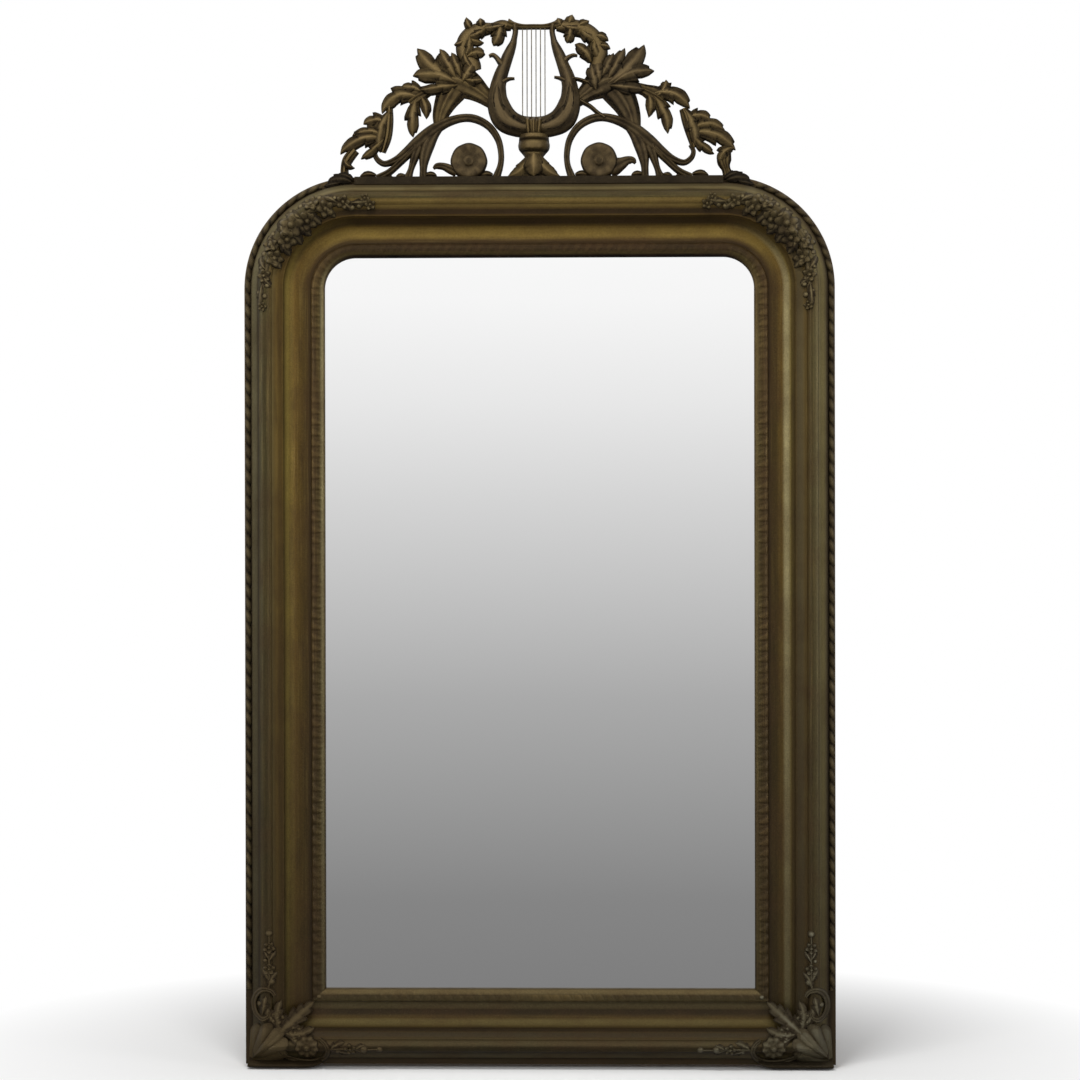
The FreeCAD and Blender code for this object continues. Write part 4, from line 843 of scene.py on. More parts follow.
lyreCarving = {
    "half": [(31, 246, 11), (29.5, 236, 9), (31.5, 224, 9.5), (33.5, 216, 12), (38, 205, 16), (43, 193, 18.5),
        (47.5, 180, 19.5), (52.5, 167, 22), (56, 155, 24), (58, 143, 27), (58, 122, 35), (47, 96, 41),
        (25, 84, 36)],
    "foot": (0, 82, 33), "bodyCut": {"depth": 24.0, "fullness": 0.55, "count": 180},
    "yoke": [(42, 248, 17), (32, 245, 12), (18, 243, 9)], "yokeMiddle": (0, 243, 8.5),
    "yokeCut": {"depth": 17.0, "fullness": 0.5, "cut": channelCut, "count": 60},
    "barbs": [[(-46, 178, 12), (-54, 186, 10), (-60, 194, 8), (-66, 198, 7), (-72, 196, 5)],
        [(45, 184, 12), (52, 191, 9), (58, 195, 7), (64, 197, 6), (70, 196, 4)],
        [(-50, 154, 8), (-41, 159, 6), (-31, 160, 4)],
        [(50, 156, 8), (42, 160, 6), (33, 162, 4)]],
    "barbCut": {"depth": 15.0, "fullness": 0.6, "cut": roundCut, "count": 24},
    "wraps": [(10, 82, 54, 122, 24, -0.2), (40, 92, 57, 152, 16, -0.14)],
    "wrapCut": {"depth": 5.0, "teeth": 2, "notch": 0.15, "curl": 0.5, "ground": crestBack + 17.0},
}


def lyreFront(along, side):
    # Broad round with a fine groove near both edges and a soft ridge off its middle.
    groove = bell(np.abs(side), 0.62, 0.09)
    return roundFront(along, side) * (0.86 - 0.26 * groove) + 0.14 * bell(side, -0.12, 0.22)


# grime in the grooves, painted shade towards both edges
def lyreDark(along, side):
    return 0.7 * bell(np.abs(side), 0.62, 0.1) + 0.95 * np.abs(side) ** 4


lyreLine = bothSides(lyreCarving["half"], lyreCarving["foot"])
yokeLine = bothSides(lyreCarving["yoke"], lyreCarving["yokeMiddle"])
lyreShells = [crestStem(lyreLine, cut=(lyreFront, lyreDark), **lyreCarving["bodyCut"])]
lyreShells += [crestStem(line, **lyreCarving["barbCut"]) for line in lyreCarving["barbs"]]
wrapShells = [crestLeaf(entry, **lyreCarving["wrapCut"]) for entry in lyreCarving["wraps"]]
makePiece("lyre_body", lyreShells + wrapShells + mirrored(wrapShells, crestAxis), "giltBrown")
makePiece("lyre_yoke", [crestStem(yokeLine, **lyreCarving["yokeCut"])], "giltCarving")

urnCarving = {
    "foot": [(0, 0, 80), (0, 6, 70), (0, 18, 48), (0, 27, 34), (0, 36, 28)],
    "footCut": {"depth": 24.0, "fullness": 0.35, "cut": plainCut, "edge": 0.0},
    "cup": [(0, 34, 30), (0, 39, 38), (0, 45, 48), (0, 52, 51), (0, 58, 49), (0, 64, 48), (0, 69, 46)],
    "cupCut": {"depth": 34.0, "fullness": 0.35, "edge": 0.0},
    # part of the cup's height at each hollow, and how deep and how dark it is
    "hollows": ((0.24, 0.2, 0.9), (0.72, 0.16, 0.8)),
    "leaves": [(-6, 38, -42, 1, 24, 0.16), (6, 38, 42, 1, 24, -0.16), (0, 40, 0, 0, 34, 0.0)],
    "leafCut": {"depth": 14.0, "teeth": 2, "notch": 0.15, "curl": 5.0, "soil": 0.4},
    # ground of the first leaf, and how much higher each next one lies
    "leafGround": (crestBack + 8.0, 4.0),
}


def cupFront(along, side):
    # Half round with two sharp hollows round it.
    hollow = sum(deep * bell(along, place, 0.06) for place, deep, dirt in urnCarving["hollows"])
    return roundFront(along, side) * (1.0 - hollow)


# grime in the hollows, painted shade at the very edges
def cupDark(along, side):
    hollow = sum(dirt * bell(along, place, 0.07) for place, deep, dirt in urnCarving["hollows"])
    return hollow + 0.9 * np.abs(side) ** 8


urnGround, urnStep = urnCarving["leafGround"]
urnShells = [crestStem(urnCarving["foot"], **urnCarving["footCut"]),
             crestStem(urnCarving["cup"], cut=(cupFront, cupDark), **urnCarving["cupCut"])]
urnShells += [crestLeaf(entry, ground=urnGround + urnStep * number, **urnCarving["leafCut"])
              for number, entry in enumerate(urnCarving["leaves"])]
makePiece("lyre_urn", urnShells, "giltCarving")

tieCarving = {
    "wrap": [(0, 64, 25), (0, 80, 28), (0, 95, 26)], "depth": 25.0, "fluteDepth": 31.0,
    "cut": {"fullness": 0.9, "edge": 0.0},
    # flutes: places across, and the share of that place, height and width along each
    "flutes": (-9, 0, 9), "flute": ((0.8, 63, 8), (1.0, 80, 9), (1.15, 97, 9)),
}


def fluteFront(along, side):
    # Half round that dips to nothing at both ends.
    return roundFront(along, side) * np.sqrt(unit(1.0 - (2.0 * along - 1.0) ** 4))


tieLines = [(tieCarving["wrap"], tieCarving["depth"])]
for across in tieCarving["flutes"]:
    tieLines.append(([(across * share, up, width) for share, up, width in tieCarving["flute"]],
                     tieCarving["fluteDepth"]))
tieShells = [crestStem(line, depth=depth, cut=(fluteFront, roundEdgeShade), **tieCarving["cut"])
             for line, depth in tieLines]
makePiece("lyre_tie", tieShells, "giltCarving")
print("lyre ready")


# Scrolls and rosettes

scrollCarving = {
    "scroll": [(61, 0, 12), (54, 21, 9), (53, 41, 9), (58, 63, 10), (72, 83, 11), (93, 95, 12), (115, 97, 12),
        (140, 90, 14), (163, 77, 18), (184, 59, 20), (204, 42, 16), (222, 30, 11), (240, 24, 9), (252, 31, 8),
        (256, 42, 7), (251, 52, 6)],
    "struts": [[(148, 83, 7), (161, 70, 15), (170, 54, 19), (176, 34, 16), (178, 16, 11), (178, 0, 12)],
        [(186, 52, 18), (192, 34, 13), (198, 15, 9), (203, 0, 13)],
        [(192, 48, 11), (212, 29, 10), (232, 11, 10), (252, 0, 12)]],
    "feet": [(66, 5, 88, 4, 11, 0.1), (176, 5, 156, 4, 10, -0.1), (206, 5, 222, 4, 9, 0.0),
        (248, 5, 228, 4, 9, 0.0), (254, 5, 280, 4, 11, 0.1)],
    "feetCut": {"depth": 11.0, "teeth": 1, "notch": 0.1, "curl": 2.0},
    "cut": {"depth": 17.0, "fullness": 0.5, "cut": channelCut}, "fuller": 1.1, "steps": 140, "strutSteps": 40,
}
rosetteCarving = {
    "spread": 104.5, "rise": 27.0,
    "disc": {"radius": 29.5, "depth": 17.0, "petals": 8, "steps": 96, "cut": 0.1, "flat": 0.6},
    "tails": {
        "left": [(124, 10, 16), (135, 15, 15), (145.5, 19.5, 12), (156, 20, 10), (162, 16, 4)],
        "right": [(122, 17, 32), (130, 19, 30), (140, 23, 21), (150, 28, 14), (158.5, 28, 11), (163, 23, 4)]},
    "tailCut": {"depth": 13.0, "fullness": 0.5, "cut": channelCut, "count": 32},
}
flowerCut = {
    # share of the radius and share of the depth, from the back rim to the boss
    "profile": ((1.0, 0.0), (1.0, 0.42), (0.96, 0.66), (0.88, 0.82), (0.78, 0.9), (0.66, 0.82), (0.54, 0.64),
        (0.43, 0.52), (0.34, 0.48), (0.29, 0.56), (0.26, 0.8), (0.2, 0.98), (0.12, 1.07), (0.02, 1.1)),
    "scallop": 0.09, "flute": 0.14, "level": 0.86,
}


def flower(across, up, radius, depth, petals, steps, cut, ground=crestBack, turned=0.0, flat=0.0):
    # Dished flower with a boss: a cosine, once for each petal, scallops its rim and flutes its bowl.
    # Flat fills the dish and lowers the boss towards one level.
    profile = np.array(flowerCut["profile"])
    share, out = profile[:, :1], profile[:, 1:]
    out = np.where(share < 0.8, out + flat * (flowerCut["level"] - out), out)
    turn = np.linspace(0.0, 2 * math.pi, steps, endpoint=False)[None, :]
    wave = np.cos(petals * (turn + turned))
    reach = radius * share * (1.0 + cut * flowerCut["scallop"] * wave * (share > 0.5))
    bowl = bell(share, 0.7, 0.2)
    x, z = across + reach * np.cos(turn), up + reach * np.sin(turn)
    height = groundAt(ground, x, z) + depth * (out + cut * flowerCut["flute"] * wave * bowl * (out > 0.01))
    # grime in the gaps and the pit, a darker boss where it is flattened, painted shade round the rim, and
    # rubbed tone with a painted highlight on the petal crests and a raised boss
    gap = unit(-wave) ** 2 * bowl * min(cut, 1.3)
    crown = unit(wave) * bowl * min(0.4 + cut, 1.0) + (share < 0.2) * (1.0 - flat)
    pit = 0.45 * bell(share, 0.36, 0.09)
    shade = unit(0.75 * gap + pit + flat * (share < 0.2) + 0.9 * (share > 0.9))
    return ringShell(gridOf(x, height, z), {"hollow": shade - 0.45 * crown * (1.0 - shade)})


scrollShells = []
for number, line in enumerate([scrollCarving["scroll"]] + scrollCarving["struts"]):
    fuller = [(across, up, width * scrollCarving["fuller"]) for across, up, width in line]
    steps = scrollCarving["strutSteps" if number else "steps"]
    scrollShells.append(crestStem(fuller, count=steps, **scrollCarving["cut"]))
scrollShells += [crestLeaf(entry, **scrollCarving["feetCut"]) for entry in scrollCarving["feet"]]
disc = flower(crestAxis + rosetteCarving["spread"], frameTop + rosetteCarving["rise"],
              **rosetteCarving["disc"])
for name in ("right", "left"):
    rosetteShells = [disc, crestStem(rosetteCarving["tails"][name], **rosetteCarving["tailCut"])]
    if name == "left":
        scrollShells = mirrored(scrollShells, crestAxis)
        rosetteShells = mirrored(rosetteShells, crestAxis)
    makePiece("scroll_" + name, scrollShells, "giltBrown")
    makePiece("rosette_" + name, rosetteShells, "giltBrown")
print("scrolls ready")


# Leaves of the crest: lobes and husks are base, tip, width and bend from the crest axis and the top edge

crownCarving = {
    "left": {
        "stems": [[(-36, 243, 13), (-50, 245, 19), (-66, 241, 18), (-82, 239, 23), (-98, 234, 25),
            (-110, 222, 25), (-114, 208, 23), (-110, 195, 24), (-100, 184, 28), (-96, 172, 24)]],
        "lobes": [(-99, 238, -108, 258, 15, 0.1), (-112, 220, -128, 214, 13, 0.1),
            (-104, 224, -80, 217, 15, -0.1), (-54, 247, -65, 212, 27, 0.1), (-108, 192, -78, 198, 24, 0.15),
            (-84, 242, -86, 256, 16, 0.0)],
        "husks": [(-46, 245, -82, 240, 17, 0.06), (-76, 240, -108, 226, 19, 0.1),
            (-104, 229, -111, 194, 19, 0.12), (-112, 202, -96, 172, 19, -0.1)]},
    "right": {
        "stems": [[(36, 243, 14), (50, 243, 23), (64, 241, 27), (80, 237, 27), (94, 227, 27), (103, 213, 26),
            (106, 199, 26), (103, 186, 24), (99, 174, 22)]],
        "lobes": [(44, 242, 38, 256, 16, 0.0), (56, 244, 62, 261, 18, 0.0), (70, 242, 89, 251, 16, 0.0),
            (98, 226, 120, 219, 17, 0.1), (104, 210, 123, 206, 14, 0.1), (58, 242, 53, 216, 22, 0.1),
            (92, 184, 66, 213, 25, -0.1)],
        "husks": [(46, 243, 80, 238, 19, -0.06), (74, 239, 101, 219, 21, -0.1),
            (99, 222, 105, 190, 20, -0.12)]},
}
largeLeafCarving = {
    "left": {
        "stems": [[(-62, 118, 20), (-82, 134, 30), (-100, 147, 44), (-118, 156, 54), (-134, 160, 44)],
            [(-152, 84, 18), (-150, 102, 26), (-142, 122, 36), (-130, 144, 50)]],
        "lobes": [(-128, 156, -187, 208, 42, 0.08), (-124, 158, -151, 207, 28, 0.0),
            (-116, 160, -132, 201, 24, 0.0), (-124, 152, -194, 164, 38, -0.1),
            (-112, 158, -82, 158, 20, -0.1), (-115, 152, -97, 184, 30, 0.0),
            (-122, 148, -184, 140, 26, 0.0)]},
    "right": {
        "stems": [[(62, 118, 18), (82, 134, 28), (98, 146, 44), (112, 154, 52), (126, 158, 44)],
            [(160, 80, 24), (155, 100, 33), (146, 120, 42), (132, 142, 52)],
            [(74, 124, 8), (90, 115, 7), (103, 104, 7), (114, 96, 9)],
            [(56, 160, 6), (72, 158, 6), (88, 152, 8)]],
        "lobes": [(118, 150, 177, 212, 44, -0.08), (118, 154, 146, 207, 26, 0.0),
            (108, 158, 128, 199, 24, 0.0), (128, 150, 193, 170, 34, 0.1), (106, 152, 101, 184, 32, 0.0),
            (100, 140, 92, 180, 30, 0.0), (122, 146, 178, 140, 26, 0.0)]},
}
upperSprigCarving = {
    "left": {
        "stems": [[(-160, 145, 14), (-174, 139, 20), (-189, 131, 30), (-201, 122, 24)]],
        "lobes": [(-178, 137, -213, 146, 24, -0.1), (-182, 128, -244, 104, 34, -0.25),
            (-189, 128, -194, 66, 28, -0.05), (-181, 130, -173, 95, 19, 0.1)]},
    "right": {
        "stems": [[(162, 145, 16), (178, 140, 19), (194, 132, 29), (206, 123, 24)]],
        "lobes": [(194, 128, 212, 156, 22, -0.15), (188, 132, 250, 110, 34, 0.2),
            (194, 134, 239, 126, 24, 0.1), (192, 130, 215, 70, 28, 0.1), (184, 132, 184, 96, 19, 0.1)]},
}
lowerSprigCarving = {
    "left": {
        "stems": [[(-232, 116, 10), (-233, 92, 14), (-236, 66, 14), (-243, 42, 9)],
            [(-288, 46, 16), (-300, 30, 17), (-305, 14, 13), (-303, 0, 16)]],
        "lobes": [(-234, 88, -274, 87, 26, -0.15), (-238, 66, -292, 68, 24, -0.15),
            (-240, 64, -311, 39, 32, -0.15), (-240, 64, -278, 31, 20, 0.05), (-304, 30, -288, 17, 12, -0.2)],
        "husks": [(-230, 108, -248, 46, 26, -0.1)]},
    "right": {
        "stems": [[(240, 110, 14), (247, 92, 20), (253, 70, 18), (257, 48, 10)],
            [(310, 54, 12), (305, 28, 23), (308, 13, 14), (313, 0, 20)]],
        "lobes": [(246, 94, 284, 91, 26, 0.15), (252, 74, 307, 73, 27, 0.2), (252, 70, 323, 43, 34, 0.15),
            (254, 66, 289, 37, 20, -0.05)],
        "husks": [(241, 108, 258, 50, 28, 0.1), (320, 46, 298, 22, 24, -0.2)]},
}
foliage = {
    # tables, cut of the lobes, and front of the broad stems
    "crown_spray": (crownCarving, {"depth": 17.0, "teeth": 2, "notch": 0.3}, roundCut),
    "large_leaf": (largeLeafCarving, {"depth": 18.0, "teeth": 2, "notch": 0.4}, fanCut),
    "upper_sprig": (upperSprigCarving, {"depth": 17.0, "teeth": 2, "notch": 0.4}, fanCut),
    "lower_sprig": (lowerSprigCarving, {"depth": 17.0, "teeth": 2, "notch": 0.4}, fanCut),
}
foliageCut = {
    "stemCut": {"depth": 16.0, "fullness": 0.4}, "broadStem": 20, "smallLobe": 20,
    "smallCut": {"teeth": 1, "notch": 0.12, "slant": 0.05},
    # each lobe lies a little above the one before
    "lobeLift": 0.7, "huskLift": 3.0,
    "brown": ("large_leaf_right",),
}
for label, (carving, lobeCut, broadCut) in foliage.items():
    for side, parts in carving.items():
        shells = []
        for line in parts["stems"]:
            broad = max(station[2] for station in line) > foliageCut["broadStem"]
            cut = broadCut if broad else reedCut
            shells.append(crestStem(line, cut=cut, **foliageCut["stemCut"]))
        for number, entry in enumerate(parts["lobes"]):
            small = foliageCut["smallCut"] if entry[4] < foliageCut["smallLobe"] else {}
            shells.append(crestLeaf(entry, lift=foliageCut["lobeLift"] * number, **dict(lobeCut, **small)))
        for entry in parts.get("husks", ()):
            shells.append(crestLeaf(entry, lift=foliageCut["huskLift"], **lobeCut))
        name = label + "_" + side
        makePiece(name, shells, "giltBrown" if name in foliageCut["brown"] else "giltCarving")

crestEnd = {
    # from the middle of the frame and its top edge
    "lobes": [(300, -8, 338, -7, 20, 0.12), (296, -6, 322, 5, 12, 0.1), (318, -9, 344, -14, 12, 0.0)],
    "cut": {"depth": 9.0, "teeth": 3, "notch": 0.25, "curl": 0.0, "ground": 36.0},
}
for name, side in (("left", -1), ("right", 1)):
    shells = []
    for baseX, baseZ, tipX, tipZ, width, bend in crestEnd["lobes"]:
        entry = (side * baseX, baseZ, side * tipX, tipZ, width, side * bend)
        shells.append(movedLeaf(entry, 0.0, frameTop, **crestEnd["cut"]))
    makePiece("crest_end_" + name, shells, "giltDark")
print("leaves ready")


# Corner ornament, laid over the mouldings

budCut = {"rings": 8, "steps": 24, "top": 0.97, "tall": 1.1}
softSection = np.array([(0, 36), (11, 40), (24, 57), (30, 64), (36, 66), (44, 62), (64, 54), (85, 43),
    (106, 36), (128, 32)], float)
softSunk = 1.5


def bud(across, up, radius, ground):
    # Small dome, a half round turned about its own axis; darker round its foot, painted shade, and rubbed on
    # top, a painted highlight.
    lift = np.linspace(0.0, budCut["top"], budCut["rings"])[:, None] * math.pi / 2
    turn = np.linspace(0.0, 2 * math.pi, budCut["steps"], endpoint=False)[None, :]
    x, z = across + radius * np.cos(lift) * np.cos(turn), up + radius * np.cos(lift) * np.sin(turn)
    height = ground(x, z) + radius * budCut["tall"] * np.sin(lift)
    return ringShell(gridOf(x, height, z), {"hollow": np.cos(lift) ** 4 - 0.8 * np.sin(lift) ** 4})


def fromOuter(across, up):
    # Distance in from the rounded outer edge of the frame.
    fromSide = halfWidth - np.abs(across)
    fromTop = frameTop - up
    beyond = np.hypot(np.maximum(cornerRadius - fromSide, 0.0), np.maximum(cornerRadius - fromTop, 0.0))
    rounded = (fromSide < cornerRadius) & (fromTop < cornerRadius)
    inside = np.where(rounded, cornerRadius - beyond, np.minimum(fromSide, fromTop))
    return np.minimum(inside, np.maximum(up, 0.0) / mitreSlope)


def softGround(across, up):
    # A little under the height of the moulding with its hollows filled.
    return np.interp(fromOuter(across, up), softSection[:, 0], softSection[:, 1]) - softSunk


def onCorner(along, across):
    # Left corner: along the frame from the start of the corner, and in from its edge.
    if along <= 0:
        return -(halfWidth - across), springLine + along
    if along >= quarterTurn:
        return -(flatHalf - (along - quarterTurn)), frameTop - across
    turn = along / cornerRadius
    reach = cornerRadius - across
    return -(flatHalf + reach * math.cos(turn)), springLine + reach * math.sin(turn)


sprayCarving = {
    # places are along the corner and in from its edge; flowers and buds have a radius
    "stem": [(-30, 30, 5), (0, 32, 8), (50, 36, 9), (95, 38, 10), (140, 39, 11), (185, 39, 10), (235, 41, 9),
        (275, 44, 8), (300, 46, 5)],
    "lobes": [(4, 31, -34, 26, 13, 0.0), (20, 33, 2, 46, 13, 0.0), (36, 34, 58, 20, 14, 0.1),
        (62, 36, 46, 58, 16, 0.0), (78, 38, 102, 19, 17, 0.1), (100, 39, 84, 64, 19, 0.0),
        (118, 39, 136, 17, 19, 0.1), (132, 40, 124, 70, 21, 0.0), (148, 40, 158, 70, 21, 0.0),
        (162, 39, 144, 17, 19, -0.1), (180, 39, 196, 64, 19, 0.0), (202, 38, 178, 19, 17, -0.1),
        (216, 40, 234, 62, 16, 0.0), (244, 41, 222, 26, 14, -0.1), (260, 43, 278, 55, 13, 0.0),
        (276, 44, 308, 42, 13, 0.0)],
    "flowers": [(-31, 32, 6), (22, 34, 9), (62, 44, 11), (84, 28, 10), (110, 48, 12), (139, 38, 16),
        (170, 50, 12), (196, 28, 10), (218, 46, 11), (258, 42, 9), (306, 47, 7), (298, 37, 6)],
    "buds": [(-14, 36, 5), (-8, 26, 5), (4, 40, 5), (38, 26, 5), (64, 24, 5), (104, 22, 5), (126, 22, 5),
        (156, 20, 5), (176, 22, 5), (214, 24, 5), (242, 33, 5), (276, 51, 5), (288, 48, 5)],
    "stemCut": {"depth": 4.0, "fullness": 0.6, "cut": roundCut, "count": 120, "rubAndHighlight": 0.0},
    "lobeCut": {"depth": 7.0, "teeth": 2, "notch": 0.3, "curl": 0.5},
    "flowerCut": {"petals": 5, "steps": 50, "cut": 2.2},
    # flowers: how much wider than the table, depth, its least share and share by the radius, turn of the next
    "wider": 1.15, "flowerDepth": 7.5, "deeper": (0.7, 0.045), "turned": 0.7,
    # painted shade on the inner part of the bend: share, and where it starts and its reach
    "innerShade": 0.5, "innerShadeFrom": (36.0, 16.0), "fainter": 0.85,
    # how much farther in the lower end lies, up to what place along, and over what length it dies away
    "lowEnds": {"left": 0.0, "right": 12.0}, "lowReach": (80.0, 90.0),
}


def buildSpray(lowEnd):
    # Left spray; its lower end lies farther in by lowEnd, which dies away along the corner.
    carving = sprayCarving
    lowEndsAt, over = carving["lowReach"]

    def at(along, across):
        return onCorner(along, across + lowEnd * min(max((lowEndsAt - along) / over, 0.0), 1.0))

    line = [at(along, across) + (width,) for along, across, width in carving["stem"]]
    shells = [stem(line, ground=softGround, **carving["stemCut"])]
    for baseAlong, baseIn, tipAlong, tipIn, width, bend in carving["lobes"]:
        entry = at(baseAlong, baseIn) + at(tipAlong, tipIn) + (width, bend)
        shells.append(leaf(entry, ground=softGround, **carving["lobeCut"]))
    least, more = carving["deeper"]
    for number, (along, across, radius) in enumerate(carving["flowers"]):
        depth = carving["flowerDepth"] * (least + more * radius)
        shells.append(flower(*at(along, across), radius * carving["wider"], depth, ground=softGround,
                             turned=carving["turned"] * number, **carving["flowerCut"]))
    shells += [bud(*at(along, across), radius, softGround) for along, across, radius in carving["buds"]]
    start, reach = carving["innerShadeFrom"]
    for shell in shells:
        across, up = shell["points"][:, 0], shell["points"][:, 2]
        # painted shade on the inner part of the bend, strongest half way round the corner
        bend = np.clip(np.arctan2(up - springLine, np.abs(across) - flatHalf), 0.0, math.pi / 2)
        innerShade = carving["innerShade"] * unit((fromOuter(across, up) - start) / reach) * np.sin(2.0 * bend)
        shade = shell["marks"]["hollow"] * carving["fainter"] + innerShade
        shell["marks"]["hollow"] = np.clip(shade, -1.0, 1.0)
    return shells


cartoucheCarving = {
    # places are away from the outer edge and up; leaves end with their teeth, flowers and buds with a radius
    "scrolls": [[(50, 113, 6), (44, 121, 8), (32, 124, 10), (20, 116, 11), (14, 101, 11), (17, 86, 11),
        (28, 77, 10), (39, 80, 8), (42, 88, 6)],
        [(122, 44, 6), (131, 36, 8), (134, 24, 10), (126, 11, 11), (110, 5, 11), (93, 5, 11), (76, 9, 10),
            (62, 17, 9), (56, 27, 7)]],
    "stems": [[(40, 122, 5), (41, 140, 5), (41, 165, 4), (41, 190, 4), (41, 213, 3)],
        [(130, 28, 5), (150, 29, 5), (172, 28, 4), (195, 28, 4), (217, 28, 3)]],
    "foot": [(5, 1, 12), (30, 1, 13), (70, 1, 13), (104, 1, 12), (124, 5, 7)],
    "leaves": [(52, 50, 110, 101, 34, 0.0, 5), (30, 84, 36, 114, 18, 0.0, 2), (58, 58, 60, 106, 24, 0.12, 3),
        (64, 54, 112, 62, 24, -0.12, 3), (52, 66, 38, 98, 16, 0.1, 2), (72, 48, 106, 40, 16, -0.1, 2),
        (41, 126, 54, 152, 14, 0.1, 2), (41, 138, 30, 158, 13, 0.0, 2), (41, 168, 51, 186, 11, 0.0, 1),
        (41, 172, 32, 188, 10, 0.0, 1), (138, 28, 162, 40, 14, 0.1, 2), (146, 28, 168, 18, 13, 0.0, 2),
        (176, 28, 194, 37, 11, 0.0, 1), (178, 28, 196, 20, 10, 0.0, 1)],
    "flowers": [(54, 78, 10), (82, 54, 10), (41, 156, 9), (41, 190, 9), (170, 28, 9)],
    "buds": [(41, 213, 6), (45, 136, 6), (35, 170, 4), (192, 28, 7), (217, 28, 6), (150, 24, 5),
        (118, 108, 5), (24, 100, 5)],
    "shell": {"across": 101 - halfWidth, "up": 31, "radius": 19, "depth": 10.0, "petals": 9, "steps": 72,
              "cut": 0.8, "turned": 0.2},
    "scrollCut": {"depth": 9.0, "fullness": 0.7, "cut": channelCut, "count": 70},
    "stemCut": {"depth": 5.0, "fullness": 0.7, "cut": roundCut, "count": 40},
    # the foot is evenly dark, painted shade along the bottom edge
    "footCut": {"depth": 34.0, "fullness": 0.8, "cut": plainCut, "ground": 24.0, "count": 40, "rubAndHighlight": 0.0},
    "leafCut": {"notch": 0.45, "curl": 0.0}, "flowerCut": {"petals": 5, "steps": 50, "cut": 2.0},
    # least depth, and depth by the width or the radius; turn of each next flower
    "leafDepth": (5.0, 0.12), "flowerDepth": (4.0, 0.35), "turned": 0.5,
    "tones": {"left": "giltWorn", "right": "giltDusty"},
}
cornerFan = {"centre": (5.0, 4.0), "start": 8.0, "reach": 80.0, "sweep": (3.0, 87.0), "ribs": 5, "depth": 8.0,
             "steps": 113, "radialSteps": 22}


def fanShell():
    # Fan from the outer corner, angle by radius: ribs are a power of a sine of the angle, with round ends.
    low, high = cornerFan["sweep"]
    part = np.linspace(0.0, 1.0, cornerFan["steps"])[:, None]
    angle = np.radians(low + (high - low) * part)
    radial = np.concatenate([np.linspace(0.0, 1.0, cornerFan["radialSteps"]), [1.0, 0.5, 0.0]])[None, :]
    front = np.arange(radial.shape[1])[None, :] < cornerFan["radialSteps"]
    rib = np.abs(np.sin(part * math.pi * cornerFan["ribs"])) ** 0.7
    longest = cornerFan["reach"] * (0.72 + 0.28 * np.sin(part * math.pi)) * (0.9 + 0.1 * rib)
    away = cornerFan["start"] + (longest - cornerFan["start"]) * radial
    x = cornerFan["centre"][0] + away * np.cos(angle) - halfWidth
    z = cornerFan["centre"][1] + away * np.sin(angle)
    bulge = 0.45 + 0.55 * np.sin(np.clip(radial, 0.0, 0.92) / 0.92 * math.pi * 0.72)
    depth = cornerFan["depth"] * bulge * (0.62 + 0.38 * rib * unit(radial * 2.0))
    height = softGround(x, z) + np.where(front, depth, 0.0)
    # grime between the ribs, painted shade along the rim, a dark back, and rubbed tone with a painted
    # highlight on the ribs
    gap = (1.0 - rib) ** 2 * unit(radial * 1.6) + 0.8 * (radial > 0.97)
    shade = np.where(front, unit(0.4 * gap) - 0.4 * rib * bulge * (radial < 0.9), 1.0)
    return ringShell(gridOf(x, height, z), {"hollow": shade})


def edgeStem(line, **settings):
    return stem(moved(line, -halfWidth, 0.0), **settings)


def buildCartouche():
    # Left cartouche.
    carving = cartoucheCarving
    shells = [fanShell(), edgeStem(carving["foot"], **carving["footCut"])]
    shells += [edgeStem(line, ground=softGround, **carving["scrollCut"]) for line in carving["scrolls"]]
    shells += [edgeStem(line, ground=softGround, **carving["stemCut"]) for line in carving["stems"]]
    least, more = carving["leafDepth"]
    for *entry, teeth in carving["leaves"]:
        shells.append(movedLeaf(entry, -halfWidth, 0.0, depth=least + more * entry[4], teeth=teeth,
                                ground=softGround, **carving["leafCut"]))
    least, more = carving["flowerDepth"]
    for number, (away, up, radius) in enumerate(carving["flowers"]):
        shells.append(flower(away - halfWidth, up, radius, least + more * radius, ground=softGround,
                             turned=carving["turned"] * number, **carving["flowerCut"]))
    shells.append(flower(ground=softGround, **carving["shell"]))
    return shells + [bud(away - halfWidth, up, radius, softGround) for away, up, radius in carving["buds"]]


for name, lowEnd in sprayCarving["lowEnds"].items():
    ornament = {"corner_spray_": (buildSpray(lowEnd), "giltCorner"),
                "corner_cartouche_": (buildCartouche(), cartoucheCarving["tones"][name])}
    for label, (shells, finish) in ornament.items():
        makePiece(label + name, shells if name == "left" else mirrored(shells, 0.0), finish)
print("corner ornament ready")


# Stage: floor, sky, lamps and camera

studio = {
    "floorLevel": -0.0058, "floorHalf": 6.0, "floorTone": rgb(247, 247, 246),
    # distances in metres over which the seen floor turns to white
    "floorFade": (0.45, 1.1),
    "ambient": 0.27,
    # lamps: power, place and size in metres
    "lamps": {
        "keyBox": (36.0, (-0.3, -1.15, 2.55), (0.9, 0.5)), "frontBox": (15.0, (0.0, -2.6, 1.4), (1.6, 1.6)),
        "leftBox": (14.0, (-2.2, -1.5, 1.2), (0.7, 1.8)), "rightBox": (16.0, (2.2, -1.5, 1.2), (0.7, 1.8))},
    "aim": (0.0, 0.0, 1.0),
    # the sheen comes from the side boxes and the room
    "sheen": ("leftBox", "rightBox"),
    # reflected room: sine of the elevation and its brightness, from below to above
    "room": ((-0.5, 0.2), (-0.16, 0.216), (-0.13, 0.242), (-0.06, 0.413), (0.0104, 0.679), (0.0456, 0.831),
        (0.081, 0.947), (0.12, 1.0)),
}
